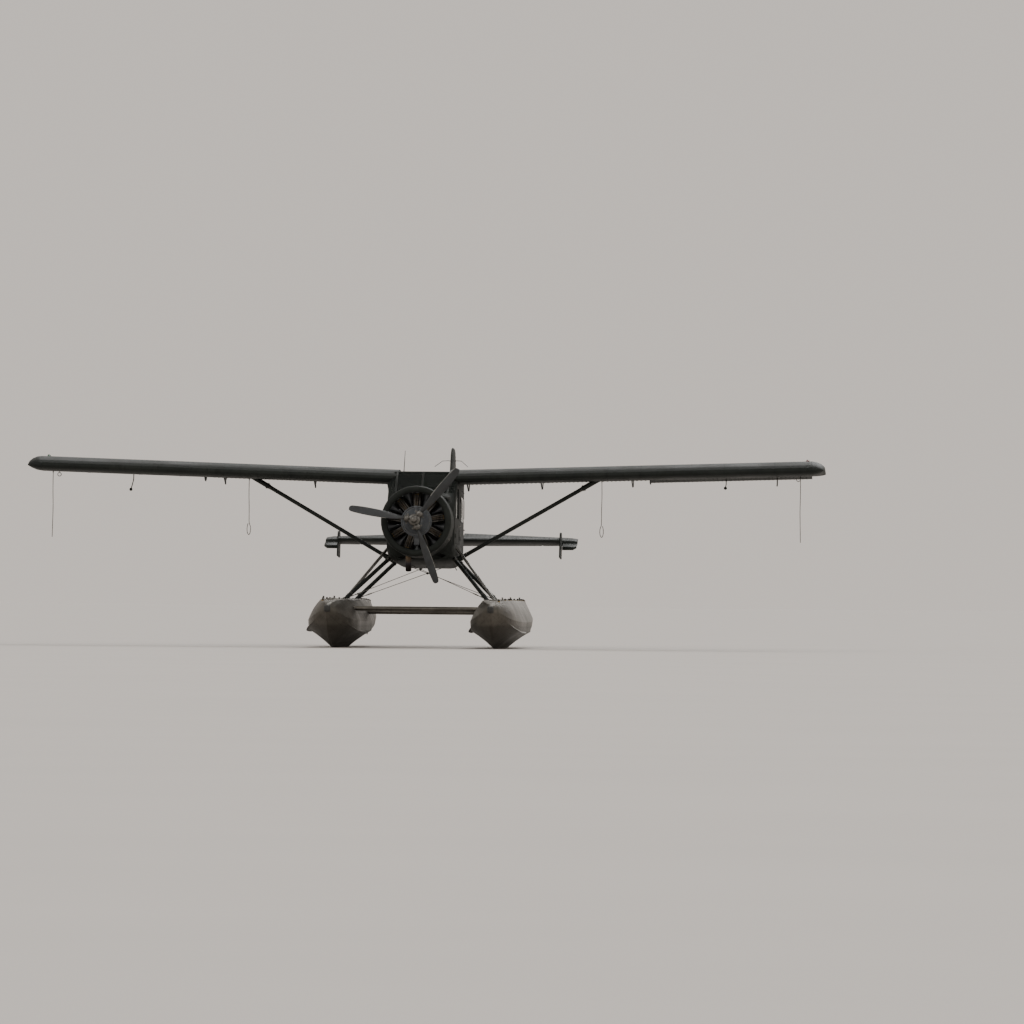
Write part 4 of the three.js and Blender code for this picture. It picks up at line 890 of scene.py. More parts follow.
def finnedProfile():
    profile = [(0.0, 0.19), (engine["barrel"]["core"], 0.19)]
    for fins in (engine["barrel"], engine["head"]):
        for i in range(fins["count"]):
            foot = fins["foot"] + i * fins["pitch"]
            profile += [(fins["core"], foot), (fins["rim"], foot + 0.35 * fins["pitch"]),
                        (fins["rim"], foot + 0.55 * fins["pitch"]), (fins["core"], foot + 0.9 * fins["pitch"])]
    crown = engine["crown"]
    return profile + [(engine["head"]["core"], crown - 0.012), (0.062, crown), (0.0, crown)]


def cylinderParts():
    # one cylinder standing on +Z, its front towards -Y
    parts = [coated(spunProfile(finnedProfile(), engine["finSteps"]), finish["castingFinnedBaked"], 30)]
    for way in (-1, 1):
        rocker = box(way * 0.052 - 0.027, way * 0.052 + 0.027, -0.064, 0.052, 0.512, 0.572, 0.012, 3)
        cover = box(way * 0.052 - 0.031, way * 0.052 + 0.031, -0.068, 0.030, 0.568, 0.590, 0.007, 3)
        tube = rodBetween((way * 0.046, -0.098, 0.205), (way * 0.054, -0.060, 0.552), 0.0105, 14)
        sleeves = [rodBetween((way * 0.0462, -0.0975, 0.210), (way * 0.0473, -0.0905, 0.262), 0.0150, 14),
                   rodBetween((way * 0.0528, -0.0665, 0.495), (way * 0.0538, -0.0615, 0.545), 0.0155, 14)]
        height, front = engine["plugs"]
        plugTop = (way * 0.020, front - 0.030, height + 0.060)
        plug = rodBetween(plugTop, (way * 0.014, -0.060, height + 0.052), 0.010, 6)
        elbow = rodBetween((way * 0.020, front - 0.024, height + 0.060),
                           (way * 0.020, front - 0.030, height + 0.015), 0.008, 10)
        for part, material in ((rocker, finish["castingFinnedBaked"]), (cover, blackEnamel), (tube, steel),
                               (sleeves[0], rubber), (sleeves[1], rubber), (plug, brass), (elbow, steel)):
            parts.append(coated(part, material, 40))
    for height, half, reach in ((0.205, 0.084, 0.086), (0.228, 0.074, 0.076)):
        parts.append(coated(box(-half, half, -reach, reach, height, height + 0.012, 0.004), greyCasting))
    return parts


def cylinderBaffle():
    # folded sheet between two cylinders, which turns the cooling air through the fins
    bpy.ops.mesh.primitive_grid_add(x_subdivisions=8, y_subdivisions=3, size=1)
    piece = bpy.context.object
    half = math.pi / engine["cylinders"]
    for point in piece.data.vertices:
        across, along = point.co.x * 2, point.co.y + 0.5
        radius = 0.285 + along * 0.300
        width = max(0.012, radius * math.sin(half) - 0.098)
        dip = 0.045 * (1 - across * across)
        point.co = (across * width, 0.060 - dip, radius)
    applyModifier(piece, "SOLIDIFY", thickness=0.002, offset=0)
    return coated(piece, greyCasting, 40)


def ignitionLead(angle):
    # from the harness ring out to a front plug
    radius, station = engine["harness"]
    height, front = engine["plugs"]
    along = Vector((math.sin(angle), 0, math.cos(angle)))
    start = along * radius + Vector((0, station, 0))
    end = along * (height + 0.018) + Vector((0, engine["cylinderStation"] + front - 0.030, 0))
    middle = (start + end) / 2 + Vector((0, -0.035, 0)) + along * 0.01
    lines = []
    for i in range(9):
        t = i / 8
        lines.append(start * (1 - t) ** 2 + middle * 2 * t * (1 - t) + end * t ** 2)
    return coated(tubeAlong(lines, 0.0055, 8), finish["leadBraided"])


def buildEngine():
    parts = [coated(spunProfile([(r, -s) for r, s in engine["case"]], 54, "Y"), greyCasting, 30)]
    count = engine["cylinders"]
    onCrank = Matrix.Translation((0, engine["cylinderStation"], 0))
    cylinder = joinParts("cylinder", cylinderParts())
    baffle = cylinderBaffle()
    for i in range(count):
        turn = Matrix.Rotation(2 * math.pi * i / count, 4, "Y")
        between = Matrix.Rotation(2 * math.pi * (i + 0.5) / count, 4, "Y")
        parts += [placed(cylinder, turn @ onCrank), placed(baffle, between @ onCrank)]
        for shift in (-0.045, 0.045):
            parts.append(ignitionLead(2 * math.pi * i / count + shift))
    removed(cylinder, baffle)
    radius, station = engine["harness"]
    parts.append(coated(hoopAt((0, station, 0), radius, 0.013, 54, 10), greyCasting, 60))
    for start, end, height, radius, number in engine["nuts"]:
        nut = coated(rodBetween((0, start, height), (0, end, height), radius, 6), steel)
        parts += [placed(nut, Matrix.Rotation(2 * math.pi * (i + 0.5) / number, 4, "Y")) for i in range(number)]
        removed(nut)
    # propeller governor on the case, oil sump between the two lowest cylinders
    governor = [rodBetween((0, -1.845, 0.120), (0, -1.845, 0.245), 0.036, 20),
                box(-0.034, 0.034, -1.885, -1.805, 0.236, 0.262, 0.006),
                rodBetween((0.0, -1.845, 0.258), (0.0, -1.845, 0.278), 0.014, 12)]
    sump = box(-0.052, 0.052, -1.650, -1.500, -0.430, -0.240, 0.016, 3)
    parts += [coated(part, greyCasting, 40) for part in (*governor, sump)]
    whole = joinParts("radialEngine", parts)
    whole.matrix_world = airframePlace @ Matrix.Translation((0, 0, engine["axisHeight"]))
    settle(whole)
    finishPiece(whole, "radial_engine_detailed", "airframe", "engine_metal", stands=["engine"])


buildEngine()
print("engine built")


# Propeller: three forged blades clamped in a barrel hub, with a pitch dome, clamp bolts and weights
propeller = {
    "station": -2.100, "radius": 1.210, "angles": (50, 170, 290), "sections": 26,
    # radius, chord, thickness, degrees to the disc
    "blade": [(0.185, 0.088, 0.074, 56), (0.235, 0.092, 0.060, 52), (0.380, 0.140, 0.038, 44),
              (0.640, 0.168, 0.024, 33), (0.930, 0.160, 0.016, 26), (1.150, 0.124, 0.010, 21),
              (1.210, 0.100, 0.008, 20)],
    "wornFrom": 0.52,       # metres from the hub, outward, along the leading edge
    # dome and barrel: radius, distance ahead of the disc
    "dome": [(0.0, 0.190), (0.012, 0.190), (0.012, 0.184), (0.030, 0.182), (0.050, 0.168), (0.060, 0.146),
             (0.062, 0.100), (0.068, 0.097), (0.068, 0.084), (0.090, 0.076), (0.104, 0.066), (0.112, 0.040),
             (0.114, -0.010), (0.106, -0.028), (0.080, -0.036), (0.0, -0.036)],
}


def bladeOutline(points=22):
    # share of the chord, share of the thickness: cambered in front, nearly flat behind
    outline = []
    for i in range(points):
        angle = 2 * math.pi * i / points
        chord = 0.5 * math.cos(angle)
        depth = math.sin(angle)
        fullness = (1 - (2 * chord) ** 2) ** 0.5 * (1 + 0.5 * chord)
        outline.append((chord, 0.5 * fullness if depth > 0 else -0.34 * fullness))
    return outline


def bladeSection(radius, shrink=1.0):
    chord, thick, pitch = eased(propeller["blade"], radius)
    pitch = math.radians(pitch)
    round_ = max(0.0, min(1.0, (0.30 - radius) / 0.12))      # shank turns round near the hub
    places = []
    for c, t in bladeOutline():
        reach = (4 * c * c + (2 * t) ** 2) ** 0.5
        circle = (c / reach, t / reach)
        c = c + (circle[0] * 0.5 - c) * round_
        t = t + (circle[1] * 0.5 - t) * round_
        along, out = c * chord * shrink, t * thick * shrink
        places.append((radius, -(along * math.sin(pitch) + out * math.cos(pitch)),
                       along * math.cos(pitch) - out * math.sin(pitch)))
    return places


def forgedBlade():
    # one blade along +X
    first, last = propeller["blade"][0][0], propeller["radius"]
    count = propeller["sections"]
    rings = [bladeSection(first + (last - 0.07 - first) * i / count) for i in range(count + 1)]
    for inboard, shrink in ((0.050, 0.99), (0.032, 0.94), (0.017, 0.84), (0.007, 0.66), (0.001, 0.38)):
        rings.append(bladeSection(last - inboard, shrink))
    blade = coated(extrudedThrough(rings), finish["bladePaintSprayedMatt"])
    coated(blade, finish["bladeEdgeForgedWorn"])
    for face in blade.data.polygons:
        place = face.center
        chord, thick, pitch = eased(propeller["blade"], place.x)
        forward = -place.y * math.sin(math.radians(pitch)) + place.z * math.cos(math.radians(pitch))
        if place.x > propeller["wornFrom"] and forward > 0.455 * chord:
            face.material_index = 1
    return smoothByAngle(blade, 50)


def bladeClamp():
    # barrel arm, split clamp with its bolts, and the weight that coarsens the pitch
    sleeve = spunProfile([(0.0, 0.05), (0.058, 0.05), (0.064, 0.100), (0.066, 0.118), (0.074, 0.122),
                          (0.075, 0.150), (0.067, 0.156), (0.064, 0.172), (0.056, 0.184), (0.048, 0.190),
                          (0.0, 0.190)], 32)
    sleeve.rotation_euler = (0, math.pi / 2, 0)
    settle(sleeve)
    parts = [sleeve]
    for way in (-1, 1):
        parts.append(box(0.121, 0.151, -0.014, 0.014, way * 0.082 - 0.014, way * 0.082 + 0.014, 0.004))
        parts.append(rodBetween((0.136, -0.024, way * 0.084), (0.136, 0.024, way * 0.084), 0.006, 6))
    weight = box(0.112, 0.158, -0.112, -0.070, -0.026, 0.026, 0.010, 3)
    arm = box(0.124, 0.146, -0.080, -0.050, -0.013, 0.013, 0.003)
    return joinParts("clamp", [coated(part, steel, 40) for part in (*parts, weight, arm)])


def buildPropeller():
    parts = [coated(spunProfile(propeller["dome"], 48, "Y"), steel, 35)]
    stud = coated(rodBetween((0.076, -0.088, 0), (0.076, -0.068, 0), 0.006, 6), steel)
    parts += [placed(stud, Matrix.Rotation(math.radians(30 * i), 4, "Y")) for i in range(12)]
    blade, clamp = forgedBlade(), bladeClamp()
    for angle in propeller["angles"]:
        turn = Matrix.Rotation(math.radians(-angle), 4, "Y")
        parts += [placed(blade, turn), placed(clamp, turn)]
    removed(blade, clamp, stud)
    whole = joinParts("propellerWhole", parts)
    hub = Matrix.Translation((0, propeller["station"], engine["axisHeight"]))
    whole.matrix_world = airframePlace @ hub
    settle(whole)
    finishPiece(whole, "propeller_detailed", "propeller", "blade_paint", stands=["propeller"])


buildPropeller()
print("propeller built")


# Floats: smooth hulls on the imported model's sections, then rails, hatches, plugs, cleats and walkways
floats = {
    "middle": 1.465, "keelHalf": 0.022, "step": 0.620, "stern": 4.250, "bow": -3.100, "deck": 0.870,
    # station, keel, then how far out and how high: chine, side, shoulder, deck edge
    "forebody": [
        (-3.100, 0.640, 0.040, 0.668, 0.052, 0.700, 0.046, 0.742, 0.026, 0.762),
        (-2.980, 0.470, 0.150, 0.590, 0.168, 0.640, 0.150, 0.740, 0.070, 0.806),
        (-2.750, 0.260, 0.275, 0.470, 0.300, 0.560, 0.250, 0.738, 0.130, 0.842),
        (-2.400, 0.092, 0.385, 0.372, 0.402, 0.510, 0.324, 0.722, 0.190, 0.862),
        (-1.900, 0.000, 0.440, 0.318, 0.452, 0.490, 0.362, 0.706, 0.222, 0.870),
        (-0.600, 0.000, 0.450, 0.300, 0.460, 0.480, 0.368, 0.702, 0.226, 0.870),
        (0.620, 0.000, 0.450, 0.300, 0.460, 0.480, 0.368, 0.702, 0.226, 0.870),
    ],
    "afterbody": [
        (0.619, 0.072, 0.440, 0.312, 0.458, 0.482, 0.366, 0.702, 0.225, 0.870),
        (2.000, 0.252, 0.372, 0.398, 0.396, 0.524, 0.318, 0.706, 0.200, 0.868),
        (3.300, 0.424, 0.250, 0.498, 0.276, 0.584, 0.226, 0.712, 0.150, 0.858),
        (4.250, 0.548, 0.120, 0.590, 0.140, 0.640, 0.118, 0.738, 0.084, 0.836),
    ],
    "hatches": (-2.480, -1.880, 0.800, 1.450, 2.450, 3.350),      # stations of the round covers
    "plugs": (-2.700, -2.050, -1.250, -0.720, 0.060, 0.950, 1.650, 2.300, 3.000, 3.750),
    "cleats": (-2.250, -0.300, 1.900), "cleatOut": 0.150,
    "walkway": (-1.420, 0.330, 0.130),          # from, to, half width
    "strutShoes": (-1.600, 0.500), "shoeOut": -0.165,
    "rail": (-2.800, -0.700),                   # spray rail along the chine
}


def hullRing(table, station):
    keel, chineOut, chine, sideOut, side, shoulderOut, shoulder, deckOut, deck = eased(table, station)
    keel = max(0.0, keel)
    flare = 0.10 * (chine - keel)               # hollow between keel and chine
    half = [(floats["keelHalf"], keel)]
    for share in (0.35, 0.65, 0.88):
        half.append((floats["keelHalf"] + (chineOut - floats["keelHalf"]) * share,
                     keel + (chine - keel) * share + flare * math.sin(math.pi * share) * 0.6))
    half.append((chineOut, chine))
    half.append((chineOut + 0.3 * (sideOut - chineOut), chine + 0.12 * (side - chine)))
    # side, shoulder and deck edge as one rounded curve
    half.append((sideOut, side))
    bowed = 1.15
    mx = shoulderOut * bowed - (sideOut + deckOut) / 2 * (bowed - 1)
    mz = shoulder * bowed - (side + deck) / 2 * (bowed - 1)
    for share in (0.25, 0.5, 0.75):
        a = (sideOut + (mx - sideOut) * share, side + (mz - side) * share)
        b = (mx + (deckOut - mx) * share, mz + (deck - mz) * share)
        half.append((a[0] + (b[0] - a[0]) * share, a[1] + (b[1] - a[1]) * share))
    half.append((deckOut, deck))
    half.append((deckOut * 0.5, deck + 0.010))
    mirrored = [(-x, z) for x, z in reversed(half)]
    return [(x, station, z) for x, z in half + mirrored]


def stationsBetween(start, end, count, power=1.0):
    return [start + (end - start) * (i / count) ** power for i in range(count + 1)]


def floatHull():
    fore = extrudedThrough([hullRing(floats["forebody"], s)
                            for s in stationsBetween(floats["bow"], floats["step"], 34, 1.35)])
    aft = extrudedThrough([hullRing(floats["afterbody"], s)
                           for s in stationsBetween(floats["step"] - 0.001, floats["stern"], 20)])
    return [coated(hull, floatSheet, 22) for hull in (fore, aft)]


def sprayRail(side):
    # a bent strip that stands out and down from the chine
    rings = []
    first, last = floats["rail"]
    for station in stationsBetween(first, last, 18):
        chineOut, chine = eased(floats["forebody"], station)[1:3]
        fade = min(1.0, (station - first) / 0.25, (last - station) / 0.25) + 0.02
        reach = 0.046 * min(1.0, fade)
        profile = [(-0.010, 0.008), (reach * 0.6, 0.000), (reach, -0.020 * fade),
                   (reach - 0.004, -0.024 * fade), (reach * 0.55, -0.006), (-0.010, 0.001)]
        rings.append([(side * (chineOut + x), station, chine + z) for x, z in profile])
    return coated(extrudedThrough(rings), drawnAluminium, 35)


def bowBumper():
    # moulded rubber block over the nose
    rings = []
    for station, half, low, high in ((-3.155, 0.026, 0.668, 0.742), (-3.150, 0.040, 0.660, 0.754),
                                     (-3.135, 0.050, 0.652, 0.762), (-3.095, 0.058, 0.640, 0.770),
                                     (-3.072, 0.062, 0.632, 0.774), (-3.068, 0.056, 0.636, 0.770)):
        middle, tall = (low + high) / 2, (high - low) / 2
        ring = []
        for i in range(20):
            angle = 2 * math.pi * i / 20
            c, s = math.cos(angle), math.sin(angle)
            ring.append((half * math.copysign(abs(c) ** 0.6, c), station,
                         middle + tall * math.copysign(abs(s) ** 0.6, s)))
        rings.append(ring)
    return coated(extrudedThrough(rings), rubber, 50)


def roundHatch():
    cover = spunProfile([(0.0, -0.010), (0.092, -0.010), (0.092, 0.004), (0.086, 0.008), (0.080, 0.006),
                         (0.072, 0.009), (0.030, 0.012), (0.0, 0.012)], 32)
    handle = box(-0.034, 0.034, -0.007, 0.007, 0.010, 0.019, 0.004)
    return joinParts("hatch", [coated(cover, drawnAluminium, 40), coated(handle, steel, 40)])


def pumpPlug():
    collar = spunProfile([(0.0, -0.008), (0.026, -0.008), (0.026, 0.004), (0.018, 0.006), (0.0, 0.006)], 20)
    ball = spunProfile([(0.0, 0.0), (0.010, 0.001), (0.0175, 0.008), (0.020, 0.018), (0.0155, 0.030),
                        (0.006, 0.036), (0.0, 0.0365)], 20)
    return joinParts("plug", [coated(collar, brass, 40), coated(ball, rubber, 60)])


def hornCleat():
    # cast base, two posts and a bar with rising horns
    base = box(-0.022, 0.022, -0.075, 0.075, -0.030, 0.006, 0.005)
    parts = [base]
    for way in (-1, 1):
        parts.append(box(-0.012, 0.012, way * 0.034 - 0.014, way * 0.034 + 0.014, 0.0, 0.040, 0.005))
        parts.append(rodBetween((0, way * 0.060, 0.0), (0, way * 0.060, 0.010), 0.007, 6))
    rings = []
    for along, radius, rise in ((-0.096, 0.004, 0.053), (-0.092, 0.008, 0.052), (-0.070, 0.011, 0.047),
                                (-0.030, 0.013, 0.042), (0.0, 0.0135, 0.041), (0.030, 0.013, 0.042),
                                (0.070, 0.011, 0.047), (0.092, 0.008, 0.052), (0.096, 0.004, 0.053)):
        rings.append([(radius * math.cos(a), along, rise + radius * math.sin(a))
                      for a in (2 * math.pi * i / 14 for i in range(14))])
    return joinParts("cleat", [coated(part, steel, 50) for part in (*parts, extrudedThrough(rings))])


def strutShoe(station):
    # forged seat bolted through the deck
    out = floats["shoeOut"]
    base = box(out - 0.060, out + 0.060, station - 0.135, station + 0.135, 0.835, 0.8835, 0.006)
    seat_ = box(out - 0.034, out + 0.034, station - 0.095, station + 0.095, 0.870, 0.884, 0.004)
    parts = [base, seat_]
    for x in (-0.045, 0.045):
        for y in (-0.112, 0.0, 0.112):
            parts.append(rodBetween((out + x, station + y, 0.880), (out + x, station + y, 0.892), 0.009, 6))
    return [coated(part, steel, 40) for part in parts]


def hullAt(station):
    return eased(floats["forebody"] if station < floats["step"] else floats["afterbody"], station)


def deckAt(station, out):
    values = hullAt(station)
    deckOut, deck = values[7], values[8]
    if abs(out) <= deckOut:
        return deck + 0.010 * min(1.0, 2 * (1 - abs(out) / deckOut))
    shoulderOut, shoulder = values[5], values[6]
    return deck + (shoulder - deck) * (abs(out) - deckOut) / (shoulderOut - deckOut)


def floatDeck():
    parts = []
    hatch, plug, cleat = roundHatch(), pumpPlug(), hornCleat()
    for station in floats["hatches"]:
        parts.append(placed(hatch, Matrix.Translation((0.02, station, deckAt(station, 0.02)))))
    for station in floats["plugs"]:
        out = 0.84 * hullAt(station)[7]
        parts.append(placed(plug, Matrix.Translation((out, station, deckAt(station, out)))))
    for station in floats["cleats"]:
        out = floats["cleatOut"] if station < 1.0 else 0.130
        parts.append(placed(cleat, Matrix.Translation((floats["cleatOut"], station, deckAt(station, out)))))
    removed(hatch, plug, cleat)
    first, last, half = floats["walkway"]
    rings = []
    for station in stationsBetween(first, last, 12):
        top = floats["deck"] + 0.0135
        near, far = -half + 0.03, half + 0.02
        rings.append([(near, station, top - 0.012), (far, station, top - 0.012), (far, station, top - 0.001),
                      (0.02, station, top + 0.001), (near, station, top - 0.001)])
    parts.append(coated(extrudedThrough(rings), rubber, 30))
    for station in floats["strutShoes"]:
        parts += strutShoe(station)
    # stern plate and the two lugs of the water rudder's post
    stern = floats["stern"]
    mount = [box(-0.012, 0.012, stern - 0.060, stern + 0.072, low, low + 0.024, 0.003)
             for low in (0.620, 0.792)]
    mount.append(box(-0.060, 0.060, stern - 0.006, stern + 0.004, 0.606, 0.826, 0.002))
    for z in (0.630, 0.720, 0.800):
        for x in (-0.042, 0.042):
            mount.append(rodBetween((x, stern + 0.002, z), (x, stern + 0.010, z), 0.006, 6))
    parts += [coated(part, steel, 40) for part in mount]
    # steering cables in fairleads along the deck
    for share in (-0.66, -0.80):
        line = []
        for s in stationsBetween(0.75, 4.16, 16):
            out = share * eased(floats["afterbody"], s)[7]
            line.append((out, s, deckAt(s, out) + 0.014))
        parts.append(coated(tubeAlong(line, 0.0035, 6), finish["stainlessWireDrawn"]))
    for station in (0.76, 1.55, 2.15, 2.80, 3.55, 4.15):
        out = -0.73 * eased(floats["afterbody"], station)[7]
        top = deckAt(station, out)
        lead = box(out - 0.030, out + 0.030, station - 0.010, station + 0.010, top - 0.012, top + 0.024, 0.003)
        parts.append(coated(lead, drawnAluminium, 40))
    return parts


def buildFloats():
    parts = floatHull() + [sprayRail(1), sprayRail(-1), bowBumper()] + floatDeck()
    left = joinParts("float", parts)
    left.matrix_world = floatsPlace @ Matrix.Translation((floats["middle"], 0, 0))
    settle(left)
    right = placed(left, mirrorX)
    for piece, name in ((left, "left"), (right, "right")):
        finishPiece(piece, f"float_{name}_detailed", "airframe", "float_metal", stands=[f"float_{name}"])


buildFloats()
print("floats built")


# Cabin sides: rubber seals, handles, gutters, bulged rear door windows and door linings
cabin = {
    # station and half width of the side wall
    "wall": [(-0.95, 0.608), (-0.80, 0.620), (-0.64, 0.625), (-0.33, 0.630), (0.30, 0.635), (1.15, 0.622),
             (1.90, 0.556)],
    "windows": {
        "cockpit_door": [(-0.672, 0.815), (-0.122, 0.815), (-0.122, 1.376), (-0.412, 1.376), (-0.672, 1.085)],
        "cabin_door": [(0.290, 0.800), (1.010, 0.800), (1.010, 1.292), (0.290, 1.292)],
    },
    "linings": {   # station and height limits of the padded card under each window
        "cockpit_door": (-0.690, -0.110, 0.400, 0.770), "cabin_door": (0.200, 1.100, 0.400, 0.760),
    },
    "handles": {"cockpit_door": (-0.125, 0.690), "cabin_door": (1.085, 0.700)},
    "gutters": {"cockpit": (-0.440, -0.055, 1.452), "cabin": (0.140, 1.165, 1.395)},
    # doorways: corners in the middle of the gap round each door, and how far the corners are rounded
    "doorways": [
        ([(-0.7315, 0.3555), (-0.0655, 0.3555), (-0.0655, 1.4325), (-0.4304, 1.4325), (-0.7315, 1.1036)],
         0.058),
        ([(0.1535, 0.3555), (1.1465, 0.3555), (1.1465, 1.3715), (0.1535, 1.3715)], 0.088),
    ],
    "doorSeal": (0.0465, 0.0085),   # depth behind the skin and radius of the rubber bulb
    "bulge": 0.032, "acrylicThickness": 0.004,
    "porthole": (1.490, 1.100, 0.165),
    "lining": -0.0365,   # depth of the wall's inner face
}


def wallAt(station):
    rows = cabin["wall"]
    for (a, wide), (b, wideNext) in zip(rows, rows[1:]):
        if station <= b:
            break
    return wide + (wideNext - wide) * (station - a) / (b - a)


def onWall(points, proud=0.0):
    return [Vector((wallAt(s) + proud, s, h)) for s, h in points]


def bothSides(left, name, body, slot, *materials, stands=None):
    # the port piece and its mirrored twin to starboard
    right = placed(left, mirrorX)
    for piece, side in ((left, "left"), (right, "right")):
        finishPiece(piece, name.format(side), body.format(side), slot, *materials,
                    stands=[stands.format(side)] if stands else ())


def ontoAirframe(piece):
    piece.matrix_world = airframePlace @ piece.matrix_world
    return settle(piece)


def bulgedWindow():
    # one closed shell: the inner face from its middle out to the rim, then the outer face back in
    outline = roundedOutline(cabin["windows"]["cabin_door"], 0.050, 7)
    rings = []
    shares = [0.06, 0.2, 0.35, 0.5, 0.64, 0.76, 0.86, 0.94, 1.0]
    for inner, order in ((True, shares), (False, shares[::-1])):
        for share in order:
            reach = cabin["bulge"] * (1 - share ** 2.6) ** 0.8
            proud = reach - 0.010 - (cabin["acrylicThickness"] if inner else 0)
            rings.append(onWall(shrunk(outline, share * 1.012), proud))
    return smoothByAngle(extrudedThrough(rings), 50)


def doorHandle(station, height):
    # a rounded escutcheon with a bent lever that points aft to forward
    wall = wallAt(station)
    plate = box(wall - 0.001, wall + 0.004, station - 0.052, station + 0.022, height - 0.017, height + 0.017,
                0.0019, 2)
    stem = rodBetween((wall, station, height), (wall + 0.024, station, height), 0.0105, 18)
    bends = ((0.022, 0.006, 0), (0.026, -0.012, 0), (0.027, -0.060, -0.003), (0.023, -0.098, -0.008))
    lever = tubeAlong([(wall + x, station + y, height + z) for x, y, z in bends], 0.0062, 12)
    return joinParts("doorHandle", [smoothByAngle(plate, 30), smoothByAngle(stem, 30), lever])


def doorLining(limits):
    # a vinyl card with pressed channels and a map pocket bar
    s0, s1, h0, h1 = limits
    outline = roundedOutline(rectangle(s0, s1, h0, h1), 0.045, 5)
    inside = cabin["lining"]
    rings = [onWall(outline, inside), onWall(outline, inside - 0.005),
             onWall(shrunk(outline, 0.985), inside - 0.008)]
    ribs = [smoothByAngle(extrudedThrough(rings), 40)]
    count = int((s1 - s0) / 0.11)
    for i in range(count):
        station = s0 + 0.06 + i * (s1 - s0 - 0.12) / max(1, count - 1)
        wall = wallAt(station) + inside - 0.008
        ribs.append(tubeAlong([(wall, station, h0 + 0.035), (wall, station, h1 - 0.09)], 0.0035, 8))
    rail = onWall([(s, h1 - 0.055) for s in (s0 + 0.05, (s0 + s1) / 2, s1 - 0.05)], inside - 0.009)
    ribs.append(tubeAlong(rail, 0.006, 10))
    return joinParts("doorLining", ribs)


def buildCabinSides():
    for door, corners in cabin["windows"].items():
        outline = roundedOutline(corners, 0.045, 7)
        seal = joinParts("seal", [loopTube(onWall(outline, -0.001), 0.0075, 10),
                                  loopTube(onWall(outline, -0.037), 0.0060, 8)])
        bothSides(ontoAirframe(seal), door + "_seal_{}", door + "_{}", "panel_black", rubber)
        handle = ontoAirframe(doorHandle(*cabin["handles"][door]))
        bothSides(handle, door + "_handle_{}", door + "_{}", "steel", steel)
        lining = ontoAirframe(doorLining(cabin["linings"][door]))
        bothSides(lining, door + "_lining_{}", door + "_{}", "panel_black", finish["vinylLiningPressed"])
    bothSides(ontoAirframe(bulgedWindow()), "cabin_door_bubble_{}", "cabin_door_{}", "glazing", acrylic,
              stands="cabin_door_glass_{}")

    depth, bulb = cabin["doorSeal"]
    bulbs = [loopTube(onWall(roundedOutline(corners, reach, 7), -depth), bulb, 10)
             for corners, reach in cabin["doorways"]]
    bothSides(ontoAirframe(joinParts("bulbs", bulbs)), "doorway_seals_{}", "airframe", "panel_black", rubber)

    gutters = []
    for s0, s1, height in cabin["gutters"].values():
        # the ends are turned down
        line = [(s0 + (s1 - s0) * i / 8, height - 0.010 * (i in (0, 8))) for i in range(9)]
        gutters.append(tubeAlong(onWall(line, 0.003), 0.0055, 8))
    bothSides(ontoAirframe(joinParts("gutter", gutters)), "door_gutter_{}", "airframe", "painted_skin",
              fuselageEnamel)

    station, height, radius = cabin["porthole"]
    circle = [(station + radius * math.cos(a), height + radius * math.sin(a))
              for a in (2 * math.pi * k / 56 for k in range(56))]
    ring = loopTube(onWall(circle, 0.001), 0.0085, 10)
    screws = []
    for k in range(16):
        a = 2 * math.pi * (k + 0.5) / 16
        s, h = station + (radius + 0.021) * math.cos(a), height + (radius + 0.021) * math.sin(a)
        screws.append(rodBetween((wallAt(s) - 0.001, s, h), (wallAt(s) + 0.0025, s, h), 0.0052, 10, 0.0042))
    bothSides(ontoAirframe(ring), "porthole_seal_{}", "airframe", "panel_black", rubber)
    bothSides(ontoAirframe(joinParts("screws", screws)), "porthole_screws_{}", "airframe", "steel", steel)
    print("cabin sides fitted")


buildCabinSides()


# Aerials, lamps and rings on the wing, fin and belly
fittings = {
    "whip": {"foot": (-0.414, -1.570), "rake": 0.24, "height": 0.405, "radius": 0.0085},
    "dome": {"foot": (0.575, -1.500), "radius": 0.046, "height": 0.048},
    "whisker": {"root": (4.170, 3.530), "radius": 0.0056,
                "line": [(0.05, -0.03, 0.012), (0.15, -0.12, 0.004), (0.285, -0.26, -0.106)]},
    "lamp": {"station": 0.300, "across": 6.995, "half": (0.038, 0.110, 0.060)},
    "ring": {"station": 0.450, "across": 6.820, "radius": 0.033, "wire": 0.0065},
    "drain": {"foot": (0.417, 0.0), "line": (0.030, 0.006, -0.050), "radius": 0.010},
    "hatch": (-0.020, 0.110, 0.360, 0.640),   # fuel filler door between the cabin doors
}


def topOf(x, y):
    # the highest skin over that place
    return max((onSurface(node, (x, y, 6), (0, 0, -1)) for node in ("cabin_shell", "wing_left", "wing_right")),
               key=lambda place: place.z if place.z < 5.5 else -1)


def underWing(side, across, station):
    inWing = wingPlace(side) @ Vector((side * across, station, 0))
    return onSurface("wing_left" if side > 0 else "wing_right", (inWing.x, inWing.y, 0.5), (0, 0, 1))


